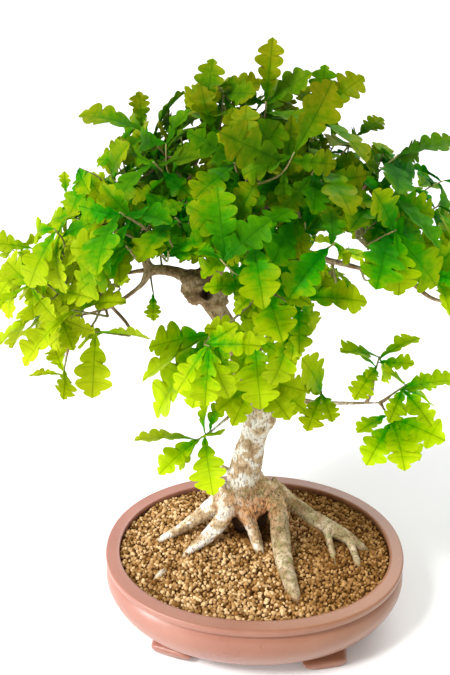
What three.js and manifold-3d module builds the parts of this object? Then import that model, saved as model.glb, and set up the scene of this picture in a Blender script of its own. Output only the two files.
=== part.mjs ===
// English oak bonsai in an oval unglazed clay pot.
// Millimetres, +Z up, +X to the right as the tree is looked at, -Y towards the viewer.
// The origin is on the surface that the pot stands on, under the middle of the pot.

import * as THREE from 'three';
import Module from 'manifold-3d';

const wasm = await Module();
wasm.setup();

// Driving dimensions of the pot and its soil

const POT_HALF_LENGTH = 170;
const POT_HALF_WIDTH = 131;
const POT_HEIGHT = 88;
const POT_SQUARENESS = 2.1;
const POT_SIDES = 36;
const RIM_WIDTH = 16;
const LIP_HEIGHT = 7.5;
const GROOVE_DEPTH = 3.4;
const UNDERSIDE_HEIGHT = 8;
const FLOOR_HEIGHT = 18;
const DRAIN_HOLE_RADIUS = 11;
const DRAIN_HOLE_X = 70;
const DRAIN_HOLE_SIDES = 16;
const SOIL_HEIGHT = 82.5;
const SOIL_MOUND = 3;
const SOIL_RELIEF = 1.3;
const SOIL_STEPS = [0, 14, 38, 78];
const SEAT_GAP = 0.4;
const SOIL_SEED = 7;

// The outside of the pot from the foot of its wall to the rim: distance in from the rim's
// edge, then height. The wall swells below the groove as wide as the rim.
const POT_OUTSIDE = [
  [36, UNDERSIDE_HEIGHT],
  [26, 13],
  [12, 28],
  [2, 49],
  [-0.6, 65],
  [1, 74],
  [GROOVE_DEPTH, 77],
  [0.4, POT_HEIGHT - LIP_HEIGHT],
  [0, POT_HEIGHT - 1],
  [1, POT_HEIGHT],
];

const POT_INSIDE = [
  [RIM_WIDTH - 0.5, POT_HEIGHT],
  [13, 74],
  [17, 42],
  [38, FLOOR_HEIGHT],
];

// A bracket foot seen from the front: distance along the wall from its middle, outwards
// positive, then height. The tail runs in along the wall and the heel is rounded. The front
// face runs back outwards by the splay and leans out downwards by the batter. The feet stand
// turned about the middle of the pot by the twist, in degrees.
const FOOT_OUTLINE = [
  [-30, 12],
  [-22, 5.5],
  [-12, 0],
  [13, 0],
  [18, 3],
  [20, 8],
  [17, 15],
  [-20, 15],
];
const FOOT_X = 88;
const FOOT_Y = 84;
const FOOT_DEPTH = 24;
const FOOT_TWIST = -4;
const FOOT_SPLAY = 0.22;
const FOOT_BATTER = 4 / 12;
const FOOT_FRONT_SET = 4;

// Plastic net over each drainage hole, under the soil
const NET_PLACES = [-DRAIN_HOLE_X, DRAIN_HOLE_X];
const NET_SIZE = 36;
const NET_THICKNESS = 1.2;
const NET_BAR = 3;
const NET_CELLS = 2;
const NET_LIFT = 0.3;

// The wood: each row is x, y, z and radius

const TRUNK = [
  [-6, 44, 58, 17],
  [-6, 44, 84, 21],
  [-7, 42, 106, 24],
  [-8, 39, 126, 27],
  [-10, 37, 142, 24],
  [-12, 35, 160, 19.5],
  [-8, 33, 186, 16.5],
  [-3, 30, 209, 15],
  [1, 28, 228, 15.5],
  [3, 27, 238, 17.5],
  [3, 25, 248, 16],
  [0, 23, 262, 12.5],
  [-8, 21, 280, 11],
  [-15, 19, 297, 11],
  [-15, 17, 315, 12],
  [-19, 15, 334, 11.5],
  [-30, 12, 356, 9.5],
  [-42, 10, 378, 10],
  [-50, 9, 396, 12],
];

// Surface roots, from the crown out to where each one dives into the soil
const ROOTS = [
  // left
  [
    [-22, 40, 138, 13],
    [-44, 36, 116, 11],
    [-66, 27, 102, 8],
    [-90, 17, 90, 6],
    [-108, 9, 82, 4.5],
    [-122, 4, 72, 3],
  ],
  // left front, which dives and shows again by the rim
  [
    [-22, 30, 132, 13],
    [-38, 14, 108, 9.5],
    [-54, 2, 95, 8],
    [-72, -10, 84, 5.5],
    [-88, -27, 75, 4],
    [-101, -43, 81, 4.5],
    [-110, -58, 78, 4],
    [-114, -70, 70, 2.5],
  ],
  // short front
  [[-10, 24, 122, 11], [-3, 10, 103, 7.5], [5, -4, 87, 6.5], [10, -14, 74, 4]],
  // big front
  [
    [14, 34, 138, 13],
    [26, 18, 124, 11.5],
    [30, -2, 106, 10.5],
    [32, -26, 93, 10],
    [37, -54, 86, 9],
    [44, -78, 79, 7],
    [48, -90, 70, 4],
  ],
  // right, with its two forks
  [
    [16, 40, 138, 13],
    [46, 32, 120, 9.5],
    [72, 22, 106, 8.5],
    [98, 12, 95, 8],
    [122, 2, 84, 6],
    [136, -4, 73, 3],
  ],
  [[82, 18, 100, 5], [88, -4, 88, 4], [91, -24, 80, 3.5], [92, -34, 73, 2.5]],
  [[108, 8, 90, 5], [114, -12, 86, 4], [117, -30, 79, 3.5], [118, -40, 72, 2.5]],
  // back left and back right
  [[-18, 52, 130, 13], [-34, 74, 104, 8.5], [-48, 92, 86, 6], [-54, 102, 72, 3.5]],
  [[8, 52, 130, 13], [28, 72, 103, 8.5], [45, 90, 86, 6], [54, 99, 72, 3.5]],
];

// Branches that the leafy stems grow from, each from inside what it grows on
const BRANCHES = [
  // the leader through the middle of the crown
  [
    [-48, 8, 405, 9],
    [-40, 7, 428, 8],
    [-28, 3, 454, 7],
    [-15, -1, 482, 6],
    [-5, -5, 510, 5],
    [-1, -8, 534, 3.4],
  ],
  // low left, out of the burl, bent down past a broken stub
  [
    [-62, 8, 408, 8],
    [-78, 9, 416, 6],
    [-95, 11, 419, 5.5],
    [-108, 13, 416, 5.5],
    [-116, 12, 403, 3.2],
    [-133, 8, 390, 2.8],
    [-150, 0, 382, 2.6],
    [-174, -10, 379, 2.5],
    [-196, -18, 380, 2.3],
  ],
  // upper left and upper right
  [
    [-28, 3, 454, 5.5],
    [-58, -4, 474, 4.8],
    [-92, -12, 476, 4.2],
    [-128, -20, 462, 3.6],
    [-162, -22, 444, 3],
  ],
  [
    [-15, -1, 482, 5],
    [18, -4, 494, 4.6],
    [54, -8, 492, 4.2],
    [92, -12, 480, 3.6],
    [128, -16, 462, 3],
    [158, -18, 444, 2.6],
  ],
  // front, high and low
  [[-28, 3, 454, 5], [-24, -26, 470, 4.2], [-16, -58, 474, 3.6], [-6, -88, 466, 3]],
  [[-26, 13, 350, 6], [-22, -10, 366, 4], [-14, -36, 378, 3.2], [-6, -58, 384, 2.6]],
  // right, middle height
  [
    [-40, 7, 428, 6],
    [-12, 0, 440, 4.4],
    [26, -8, 446, 4],
    [66, -18, 440, 3.6],
    [104, -30, 434, 3],
    [138, -36, 426, 2.6],
  ],
  // back, back left and back right
  [[-40, 7, 428, 6], [-34, 38, 448, 4.6], [-24, 72, 456, 4], [-12, 104, 450, 3]],
  [[-28, 3, 454, 5], [-58, 30, 470, 4.2], [-92, 54, 466, 3.6], [-124, 70, 448, 2.8]],
  [[-15, -1, 482, 5], [18, 28, 490, 4.2], [56, 52, 480, 3.6], [94, 68, 460, 2.8]],
  // low ones behind
  [[-15, 18, 310, 6], [14, 40, 334, 4], [46, 64, 358, 3.4], [80, 82, 382, 2.6]],
  [[-56, 14, 404, 7], [-84, 38, 408, 4.4], [-118, 54, 402, 3.6], [-154, 60, 392, 2.8]],
  // low right, out of the knob
  [
    [8, 19, 280, 7],
    [30, 12, 277, 4],
    [56, 1, 277, 3.2],
    [80, -8, 281, 2.9],
    [104, -14, 285, 2.6],
    [124, -18, 288, 2.3],
  ],
];

// Short broken spurs and knobs left by old cuts
const SPURS = [
  [[-18, 34, 158, 6], [-32, 30, 168, 4], [-38, 28, 176, 2.2]],
  [[-16, 30, 142, 9], [-34, 24, 152, 5], [-44, 20, 157, 2.4]],
  [[8, 28, 148, 8], [20, 20, 154, 5], [27, 16, 160, 2.4]],
  [[-40, 8, 418, 5], [-37, 4, 432, 3.4], [-36, 2, 440, 2.2]],
  [[-106, 13, 414, 5.5], [-110, 14, 424, 5], [-112, 15, 433, 3.2]],
];
const KNOBS = [
  [12, 19, 281, 10],
  [-66, 4, 412, 11],
  [-40, 2, 392, 10],
  [8, 26, 144, 11],
];
const LUMP_LEAST = 0.9;
const LUMP_SPREAD = 0.22;
const KNOB_FLATNESS = 0.85;
const KNOB_SIDES = 6;
const KNOB_BANDS = 3;
const KNOB_SEED = 60;

// The burl where the old leader was cut, and the hollow that the cut left
const BURL = { x: -53, y: 8, z: 402, halfWidth: 23, halfDepth: 17, halfHeight: 19 };
const BURL_HOLLOW = [[-52, -18, 400, 6], [-52, -6, 401, 5.5], [-52, 4, 403, 3]];
const BURL_SIDES = 10;
const BURL_BANDS = 6;
const BURL_SEED = 31;

// Leafy stems: the middle of each cluster of leaves, how many leaves stand round it as they
// come, and the tips of the leaves that give the tree its outline. A fourth number at a tip
// is how far, in radians, that leaf is rolled back to lie flat
const SHOOTS = [
  // top of the crown
  [2, -10, 582, 2, [6, -18, 634], [40, -16, 606]],
  [48, -14, 576, 1, [51, -10, 612], [85, -6, 602]],
  [-50, -20, 576, 2, [-43, -14, 617]],
  [-108, 4, 556, 1, [-110, 10, 587], [-166, 14, 565, 0.15]],
  [84, 6, 550, 2, [110, 24, 562]],
  [117, -24, 540, 2, [170, -18, 549, 0.35]],
  // front of the crown
  [-92, -56, 540, 3],
  [-24, -84, 546, 2],
  [42, -82, 544, 2],
  [102, -64, 516, 3],
  [-70, -108, 508, 3],
  [-126, -72, 488, 3],
  [-10, -134, 502, 3],
  [54, -126, 494, 2, [67, -122, 476]],
  [-112, -118, 515, 2],
  [0, -136, 462, 3],
  [106, -98, 496, 1, [111, -110, 444], [146, -90, 445]],
  // sides of the crown
  [-177, -16, 502, 2, [-177, -12, 521]],
  [166, 4, 488, 3],
  [-206, -40, 458, 2, [-246, -44, 464]],
  [162, -60, 442, 3],
  [220, -12, 444, 3],
  [-164, -86, 418, 2],
  [204, -46, 420, 3],
  [-212, -30, 388, 3],
  [226, 34, 400, 3],
  [-214, 42, 404, 3],
  // back of the crown
  [0, 56, 562, 3],
  [-68, 64, 538, 3],
  [72, 60, 532, 3],
  [-134, 80, 500, 3],
  [128, 76, 484, 3],
  [0, 112, 516, 3],
  [-64, 138, 466, 3],
  [64, 138, 460, 3],
  [-172, 66, 446, 3],
  [172, 70, 430, 3],
  [-106, 138, 410, 3],
  [104, 136, 400, 3],
  // low ones, from left to right
  [-192, -34, 324, 0, [-228, -30, 321, 0.7], [-208, 4, 336], [-185, -70, 318, 0.9]],
  [-151, -62, 386, 1, [-152, -92, 333], [-99, -72, 384, 1.1]],
  [-62, -24, 244, 0, [-125, -40, 253, 0.9], [-36, -48, 267, 0.9], [-100, -52, 220, 0.6], [-44, -64, 204]],
  [-44, -70, 388, 0, [-107, -84, 346, 0.8], [-103, -58, 368], [-60, -106, 332], [-97, -72, 301, 0.5]],
  [0, -32, 318, 1, [-40, -62, 302], [44, -52, 320], [30, -66, 296]],
  [-6, -92, 396, 3],
  [30, -120, 446, 1, [84, -122, 443], [43, -104, 407]],
  [64, -24, 304, 0, [18, -66, 310], [72, -56, 288], [40, -48, 354], [48, -56, 277]],
  [122, -4, 334, 0, [78, -34, 353, 0.5], [165, 14, 346, 0.6], [154, -20, 334], [96, -30, 298]],
  [148, -22, 312, 0, [119, -44, 338, 0.4], [126, -58, 289], [168, -58, 286], [198, -26, 318, 0.5]],
  [134, -42, 280, 0, [105, -76, 252], [139, -90, 256], [180, -68, 276], [97, -56, 276, 0.4]],
];
const CROWN_MIDDLE = new THREE.Vector3(0, 0, 400);
const SHOOT_LENGTH = 34;
const LOW_SHOOT_HEIGHT = 350;
const LOW_SHOOT_LENGTH = 20;
const SHOOT_RADIUS = 1.9;
const SHOOT_TIP_RADIUS = 1.2;
const SHOOT_LIFT = 0.35;
const SHOOT_GAP = 0.3;

// A branchlet starts at one of these shares of a stretch of what carries it, on the part of
// the trunk between these rows or anywhere on a branch. Setting off against the way that the
// carrier runs counts as extra length.
const CARRIER_SHARES = [0, 0.35, 0.7, 1];
const TRUNK_CARRIES = [6, 17];
const BACKWARD_COST = 0.35;
const BRANCHLET_RADIUS = 2.6;
const BRANCHLET_TAPER = 0.85;
const BRANCHLET_BEND = 0.35;
const BRANCHLET_SET_OFF = 0.21;
const BRANCHLET_STATIONS = [0, 0.55, 1];
const TRUNK_SIDES = 8;
const ROOT_SIDES = 6;
const BRANCH_SIDES = 4;
const TWIG_SIDES = 3;

// Oak leaf: distance along the midrib, then half width, both as shares of the length
const LEAF_MEAN_LENGTH = 60;
const LEAF_LENGTH_SPREAD = 12;
const LEAF_THICKNESS = 0.7;
const LEAF_EDGE = [
  [0.26, 0.14],
  [0.37, 0.085],
  [0.53, 0.255],
  [0.62, 0.145],
  [0.79, 0.245],
];
const LEAF_RIB = 0.5;
const LEAF_BASE_SHARE = 0.25;
const LEAF_REACH = 0.56;
const LEAF_TRIES = 16;
const LEAF_SEED = 1000;
const CLEARANCE = 1.3;

// How the two kinds of leaf vary: bend and fold in radians as a least value and a spread,
// then what each further try adds to the roll, the turn and the tilt and takes off the length
const OUTLINE_LEAF = {
  bend: [0.25, 0.3],
  fold: [0.12, 0.15],
  roll: 0.2,
  rollStep: 0.13,
  shrinkStep: 0.01,
  firstBack: 1,
  spacing: 3,
};
const LOOSE_LEAF = {
  bend: [0.35, 0.45],
  fold: [0.12, 0.2],
  turn: 0.35,
  turnStep: 0.42,
  tilt: 0.2,
  tiltStep: 0.03,
  shrinkStep: 0.015,
  shrinkInside: 0.16,
  upward: 0.75,
  outward: 0.5,
  alongStem: 0.3,
  droop: 0.12,
  firstBack: 0.04,
  spacing: 0.13,
  lastBack: 0.75,
  sink: 0.4,
};
const GOLDEN_ANGLE = THREE.MathUtils.degToRad(137.508);
const UP = new THREE.Vector3(0, 0, 1);
const VIEWER_LIGHT = new THREE.Vector3(0, -0.6, 0.8);

// Small maths

function vec(row) {
  return new THREE.Vector3(row[0], row[1], row[2]);
}

// A repeatable random stream between 0 and 1
function randomStream(seed) {
  let state = seed >>> 0;
  return () => {
    state = (state + 0x6d2b79f5) >>> 0;
    let t = state;
    t = Math.imul(t ^ (t >>> 15), t | 1);
    t ^= t + Math.imul(t ^ (t >>> 7), t | 61);
    return ((t ^ (t >>> 14)) >>> 0) / 4294967296;
  };
}

// Any unit vector square to the one given
function squareTo(direction) {
  const other = Math.abs(direction.z) < 0.9 ? UP : new THREE.Vector3(1, 0, 0);
  return new THREE.Vector3().crossVectors(other, direction).normalize();
}

// Solids

function solid(points, triangles) {
  const vertProperties = new Float32Array(points.length * 3);
  points.forEach((point, i) => vertProperties.set([point.x, point.y, point.z], i * 3));
  const triVerts = new Uint32Array(triangles.flat());
  return new wasm.Manifold(new wasm.Mesh({ numProp: 3, vertProperties, triVerts }));
}

// Rings of points, each with the same count and turning left as seen from the last
// ring, are skinned one to the next and closed at both ends, wide rings round a middle point.
function loft(rings) {
  const sides = rings[0].length;
  const points = rings.flat();
  const triangles = [];
  for (let ring = 0; ring + 1 < rings.length; ring++) {
    for (let i = 0; i < sides; i++) {
      const a = ring * sides + i;
      const b = ring * sides + ((i + 1) % sides);
      triangles.push([a, b, b + sides]);
      triangles.push([a, b + sides, a + sides]);
    }
  }
  const last = (rings.length - 1) * sides;
  if (sides <= 4) {
    for (let i = 1; i + 1 < sides; i++) {
      triangles.push([0, i + 1, i]);
      triangles.push([last, last + i, last + i + 1]);
    }
    return solid(points, triangles);
  }
  const first = points.length;
  points.push(middleOf(rings[0]));
  points.push(middleOf(rings[rings.length - 1]));
  for (let i = 0; i < sides; i++) {
    const next = (i + 1) % sides;
    triangles.push([first, next, i]);
    triangles.push([first + 1, last + i, last + next]);
  }
  return solid(points, triangles);
}

function middleOf(ring) {
  const sum = ring.reduce((total, point) => total.add(point), new THREE.Vector3());
  return sum.divideScalar(ring.length);
}

// A round limb through rows of x, y, z and radius. swell(angle, row) scales the radius and
// grow adds to it. Its last ring is square to end, where that is given.
function limb(rows, sides, { grow = 0, swell = () => 1, end = null } = {}) {
  const points = rows.map(vec);
  let across = null;
  const rings = rows.map((row, i) => {
    const before = points[Math.max(i - 1, 0)];
    const after = points[Math.min(i + 1, rows.length - 1)];
    const last = end && i === rows.length - 1;
    const along = last ? end : after.clone().sub(before).normalize();
    across = across
      ? across.clone().addScaledVector(along, -across.dot(along)).normalize()
      : squareTo(along);
    const third = new THREE.Vector3().crossVectors(along, across);
    return Array.from({ length: sides }, (_, k) => {
      const angle = (2 * Math.PI * k) / sides;
      const radius = row[3] * swell(angle, i) + grow;
      return points[i]
        .clone()
        .addScaledVector(across, radius * Math.cos(angle))
        .addScaledVector(third, radius * Math.sin(angle));
    });
  });
  return loft(rings);
}

// A lumpy ball with its poles up and down
function lump(centre, size, sides, bands, seed) {
  const random = randomStream(seed);
  const rings = Array.from({ length: bands }, (_, band) => {
    const latitude = Math.PI * ((band + 0.5) / bands - 0.5);
    return Array.from({ length: sides }, (_, k) => {
      const angle = (2 * Math.PI * k) / sides;
      const swell = LUMP_LEAST + LUMP_SPREAD * random();
      return new THREE.Vector3(
        centre.x + size.x * swell * Math.cos(latitude) * Math.cos(angle),
        centre.y + size.y * swell * Math.cos(latitude) * Math.sin(angle),
        centre.z + size.z * swell * Math.sin(latitude),
      );
    });
  });
  return loft(rings);
}

function joined(solids) {
  return wasm.Manifold.union(solids);
}

// Turns a solid into a named mesh with its own material
function meshOf(name, body, colour, roughness) {
  const { vertProperties, triVerts } = body.getMesh();
  const geometry = new THREE.BufferGeometry();
  geometry.setAttribute('position', new THREE.BufferAttribute(vertProperties, 3));
  geometry.setIndex(new THREE.BufferAttribute(triVerts, 1));
  geometry.computeVertexNormals();
  const material = new THREE.MeshStandardMaterial({ color: colour, roughness, metalness: 0 });
  const mesh = new THREE.Mesh(geometry, material);
  mesh.name = name;
  return mesh;
}

// Pot

// A point on the pot's oval, moved in from the rim's edge, at a height
function ovalPoint(angle, inward, height) {
  const c = Math.abs(Math.cos(angle)) ** POT_SQUARENESS;
  const s = Math.abs(Math.sin(angle)) ** POT_SQUARENESS;
  const reach = (c + s) ** (-1 / POT_SQUARENESS);
  return new THREE.Vector3(
    (POT_HALF_LENGTH - inward) * reach * Math.cos(angle),
    (POT_HALF_WIDTH - inward) * reach * Math.sin(angle),
    height,
  );
}

function ovalRing(inward, height) {
  return Array.from({ length: POT_SIDES }, (_, i) =>
    ovalPoint((2 * Math.PI * i) / POT_SIDES, inward, height),
  );
}

// One foot, drawn as its front outline and given depth towards the middle of the pot.
// side is +1 on the right and -1 on the left, front is +1 in front and -1 behind.
function foot(side, front) {
  const outline = FOOT_OUTLINE.map(([along, height]) => [side * (FOOT_X + along), height]);
  if (side < 0) {
    outline.reverse();
  }
  const shape = new THREE.Shape(outline.map(([x, z]) => new THREE.Vector2(x, z)));
  const faces = THREE.ShapeUtils.triangulateShape(shape.getPoints(), []);
  const face = -FOOT_Y - FOOT_DEPTH / 2 + FOOT_FRONT_SET;
  const near = outline.map(([x, z]) => {
    const y = face + FOOT_SPLAY * (Math.abs(x) - FOOT_X) - FOOT_BATTER * z;
    return new THREE.Vector3(x, y, z);
  });
  const far = outline.map(([x, z]) => new THREE.Vector3(x, -FOOT_Y + FOOT_DEPTH / 2, z));
  const count = outline.length;
  const triangles = [];
  faces.forEach(([a, b, c]) => {
    triangles.push([a, b, c]);
    triangles.push([a + count, c + count, b + count]);
  });
  for (let i = 0; i < count; i++) {
    const next = (i + 1) % count;
    triangles.push([i, i + count, next + count]);
    triangles.push([i, next + count, next]);
  }
  const body = solid([...near, ...far], triangles);
  return front > 0 ? body : body.rotate([0, 0, 180]);
}

function makePot() {
  const rings = [...POT_OUTSIDE, ...POT_INSIDE].map(([inward, z]) => ovalRing(inward, z));
  let body = loft(rings);
  const feet = [[1, 1], [-1, 1], [1, -1], [-1, -1]].map(([side, front]) =>
    foot(side, front).rotate([0, 0, FOOT_TWIST]),
  );
  body = joined([body, ...feet]);
  NET_PLACES.forEach((x) => {
    const rows = [[x, 0, -1, DRAIN_HOLE_RADIUS], [x, 0, FLOOR_HEIGHT + 1, DRAIN_HOLE_RADIUS]];
    body = body.subtract(limb(rows, DRAIN_HOLE_SIDES));
  });
  return body;
}

// Nets

function bar(x0, x1, y0, y1, bottom, top) {
  const ring = (z) => [
    new THREE.Vector3(x0, y0, z),
    new THREE.Vector3(x1, y0, z),
    new THREE.Vector3(x1, y1, z),
    new THREE.Vector3(x0, y1, z),
  ];
  return loft([ring(bottom), ring(top)]);
}

function makeNet(middleX) {
  const bottom = FLOOR_HEIGHT + NET_LIFT;
  const top = bottom + NET_THICKNESS;
  const half = NET_SIZE / 2;
  const pitch = (NET_SIZE - NET_BAR) / NET_CELLS;
  let net = bar(middleX - half, middleX + half, -half, half, bottom, top);
  for (let i = 0; i < NET_CELLS; i++) {
    for (let j = 0; j < NET_CELLS; j++) {
      const x = middleX - half + NET_BAR + i * pitch;
      const y = -half + NET_BAR + j * pitch;
      const cell = pitch - NET_BAR;
      net = net.subtract(bar(x, x + cell, y, y + cell, bottom - 1, top + 1));
    }
  }
  return net;
}

// Wood

// The trunk and the roots swell and shrink a little round their girth
function barkSwell(angle, row) {
  return 1 + 0.06 * Math.sin(3 * angle + 1.7 * row) + 0.05 * Math.sin(2 * angle - 2.3 * row);
}

// Everything woody that goes below the soil, made larger by grow for its hole in the soil
function rootedWood(grow) {
  const parts = ROOTS.map((rows) => limb(rows, ROOT_SIDES, { grow, swell: barkSwell }));
  parts.push(limb(TRUNK, TRUNK_SIDES, { grow, swell: barkSwell }));
  return parts;
}

function makeWood(branchlets) {
  const parts = rootedWood(0);
  [...BRANCHES, ...SPURS].forEach((rows) => parts.push(limb(rows, BRANCH_SIDES)));
  branchlets.forEach(({ rows, end }) => parts.push(limb(rows, TWIG_SIDES, { end })));
  KNOBS.forEach(([x, y, z, size], i) => {
    const knobSize = { x: size, y: size, z: size * KNOB_FLATNESS };
    parts.push(lump({ x, y, z }, knobSize, KNOB_SIDES, KNOB_BANDS, KNOB_SEED + i));
  });
  const burlSize = { x: BURL.halfWidth, y: BURL.halfDepth, z: BURL.halfHeight };
  parts.push(lump(BURL, burlSize, BURL_SIDES, BURL_BANDS, BURL_SEED));
  return joined(parts).subtract(limb(BURL_HOLLOW, ROOT_SIDES));
}

// Soil

// The soil follows the inside of the pot up to just under the rim. Its top rises a little
// towards the middle, uneven in steps in from the wall.
function makeSoil() {
  const random = randomStream(SOIL_SEED);
  const [above, below, ...deeper] = POT_INSIDE;
  const rings = [...deeper.reverse(), below].map(([inward, z]) =>
    ovalRing(inward + SEAT_GAP, z + SEAT_GAP),
  );
  const share = (SOIL_HEIGHT - below[1]) / (above[1] - below[1]);
  const edge = below[0] + (above[0] - below[0]) * share + SEAT_GAP;
  SOIL_STEPS.forEach((inward, step) => {
    const ring = ovalRing(edge + inward, SOIL_HEIGHT);
    ring.forEach((point) => {
      const rise = (SOIL_MOUND * step) / (SOIL_STEPS.length - 1);
      point.z += rise + (step > 0 ? SOIL_RELIEF * (2 * random() - 1) : 0);
    });
    rings.push(ring);
  });
  const holes = joined(rootedWood(SEAT_GAP));
  let body = loft(rings).subtract(holes);
  NET_PLACES.forEach((x) => {
    const half = NET_SIZE / 2 + SEAT_GAP;
    const top = FLOOR_HEIGHT + NET_LIFT + NET_THICKNESS + SEAT_GAP;
    body = body.subtract(bar(x - half, x + half, -half, half, FLOOR_HEIGHT, top));
  });
  return body;
}

// Where the leafy stems grow

// The place on a branch or branchlet that a new one would grow from, to reach a point: near
// it, and where the carrier leads its way
function growingPlace(carriers, point) {
  let best = null;
  carriers.forEach((rows) => {
    for (let i = 0; i + 1 < rows.length; i++) {
      const from = vec(rows[i]);
      const along = vec(rows[i + 1]).sub(from);
      for (const share of CARRIER_SHARES) {
        const spot = from.clone().addScaledVector(along, share);
        const reach = point.clone().sub(spot);
        const length = reach.length();
        const turn = 1 - reach.dot(along) / (length * along.length() + 1e-9);
        const cost = length * (1 + BACKWARD_COST * turn);
        if (!best || cost < best.cost - 1e-6) {
          const radius = rows[i][3] + (rows[i + 1][3] - rows[i][3]) * share;
          best = { cost, spot, length, radius, along: along.normalize() };
        }
      }
    }
  });
  return best;
}

// Each stem starts on a branchlet, which bends round to the direction of the stem. A branchlet
// can carry the next one. The stems lean outwards, and the low ones are short and grow
// straight on.
function layShoots() {
  const carriers = BRANCHES.map((rows) => rows.slice(1));
  carriers.push(TRUNK.slice(...TRUNK_CARRIES));
  const branchlets = [];
  const shoots = SHOOTS.map(([x, y, z, loose, ...tips], index) => {
    const hub = new THREE.Vector3(x, y, z);
    const outward = hub.clone().sub(CROWN_MIDDLE);
    outward.z *= 0.5;
    outward.normalize();
    const low = z < LOW_SHOOT_HEIGHT;
    const length = low ? LOW_SHOOT_LENGTH : SHOOT_LENGTH;
    const lean = low
      ? hub.clone().sub(growingPlace(carriers, hub).spot).normalize()
      : outward.clone().addScaledVector(UP, SHOOT_LIFT).normalize();
    const root = hub.clone().addScaledVector(lean, -length);
    const best = growingPlace(carriers, root);
    const curve = new THREE.CubicBezierCurve3(
      best.spot,
      best.spot.clone().addScaledVector(best.along, BRANCHLET_SET_OFF * best.length),
      root.clone().addScaledVector(lean, -BRANCHLET_BEND * best.length),
      root,
    );
    const thick = Math.min(BRANCHLET_RADIUS, best.radius * BRANCHLET_TAPER);
    const rows = BRANCHLET_STATIONS.map((share) => {
      const point = curve.getPoint(share);
      const radius = thick + (SHOOT_RADIUS - thick) * share;
      return [point.x, point.y, point.z, radius];
    });
    branchlets.push({ rows, end: lean });
    carriers.push(rows);
    const rolls = tips.map((tip) => tip[3] ?? 0);
    return { hub, lean, length, outward, root, loose, tips: tips.map(vec), rolls, index };
  });
  return { shoots, branchlets };
}

// Leaves

// A leaf is a base point, three square directions (midrib, side, face), a length, how far
// it bends down over its length and how steeply its halves fold up from the midrib.
function leafPoint(leaf, along, across) {
  const turn = leaf.bend * along;
  const run = (leaf.length * Math.sin(turn)) / leaf.bend;
  const drop = (-leaf.length * (1 - Math.cos(turn))) / leaf.bend;
  const rise = Math.abs(across) * leaf.length * Math.sin(leaf.fold);
  const face = leafFace(leaf, along);
  return leaf.base
    .clone()
    .addScaledVector(leaf.rib, run)
    .addScaledVector(leaf.face, drop)
    .addScaledVector(leaf.side, across * leaf.length * Math.cos(leaf.fold))
    .addScaledVector(face, rise);
}

function leafFace(leaf, along) {
  const turn = leaf.bend * along;
  return leaf.face.clone().multiplyScalar(Math.cos(turn)).addScaledVector(leaf.rib, Math.sin(turn));
}

// Stations: the base, up one edge, the tip, down the other, and along the midrib
const LEAF_STATIONS = [
  [0, 0],
  ...LEAF_EDGE,
  [1, 0],
  ...LEAF_EDGE.map(([along, half]) => [along, -half]).reverse(),
  [LEAF_RIB, 0],
];
const LEAF_TIP = LEAF_EDGE.length + 1;
const OUTLINE_COUNT = 2 * LEAF_TIP;

// Triangles of one face, which fan out from the middle of the midrib
function leafTriangles() {
  return Array.from({ length: OUTLINE_COUNT }, (_, i) => [
    i,
    (i + 1) % OUTLINE_COUNT,
    OUTLINE_COUNT,
  ]);
}
const LEAF_FACES = leafTriangles();

function leafEdges() {
  const seen = new Map();
  LEAF_FACES.forEach((face) => {
    face.forEach((a, i) => {
      const b = face[(i + 1) % 3];
      seen.set(`${Math.min(a, b)} ${Math.max(a, b)}`, [a, b]);
    });
  });
  return [...seen.values()];
}
const LEAF_EDGES = leafEdges();

// The two faces meet in a point at the base, inside the stem, and at the tip
function leafSolid(leaf) {
  const points = [];
  const above = [];
  const below = [];
  LEAF_STATIONS.forEach(([along, across], i) => {
    const point = leafPoint(leaf, along, across);
    const lift = leafFace(leaf, along).multiplyScalar(LEAF_THICKNESS / 2);
    if (i === 0 || i === LEAF_TIP) {
      above.push(points.length);
      below.push(points.length);
      points.push(point);
    } else {
      above.push(points.length);
      points.push(point.clone().add(lift));
      below.push(points.length);
      points.push(point.clone().sub(lift));
    }
  });
  const triangles = [];
  LEAF_FACES.forEach(([a, b, c]) => {
    triangles.push([above[a], above[c], above[b]]);
    triangles.push([below[a], below[b], below[c]]);
    if (above[b] !== below[b]) {
      triangles.push([above[a], above[b], below[b]]);
    }
    if (above[a] !== below[a]) {
      triangles.push([above[a], below[b], below[a]]);
    }
  });
  return solid(points, triangles);
}

// What a leaf must stay clear of is kept as straight lines and triangles. A leaf's lines are
// its edges and a short spike through each point. Leaves of one stem may meet near their
// bases, so for them the outer parts alone are kept under clear.
function leafTrace(leaf) {
  const points = LEAF_STATIONS.map(([along, across]) => leafPoint(leaf, along, across));
  const lines = LEAF_EDGES.map(([a, b]) => [points[a], points[b]]);
  LEAF_STATIONS.forEach(([along], i) => {
    const face = leafFace(leaf, along);
    lines.push([
      points[i].clone().addScaledVector(face, -CLEARANCE),
      points[i].clone().addScaledVector(face, CLEARANCE),
    ]);
  });
  const triangles = LEAF_FACES.map((face) => face.map((i) => points[i]));
  const outer = leaf.length * LEAF_BASE_SHARE;
  const clear = {
    lines: lines.filter((line) => line[0].distanceTo(leaf.base) > outer),
    triangles: triangles.filter((_, i) => !LEAF_FACES[i].includes(0)),
  };
  const middle = leafPoint(leaf, 0.5, 0);
  const reach = leaf.length * LEAF_REACH;
  return { points, lines, triangles, clear, middle, reach, shoot: leaf.shoot };
}

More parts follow.
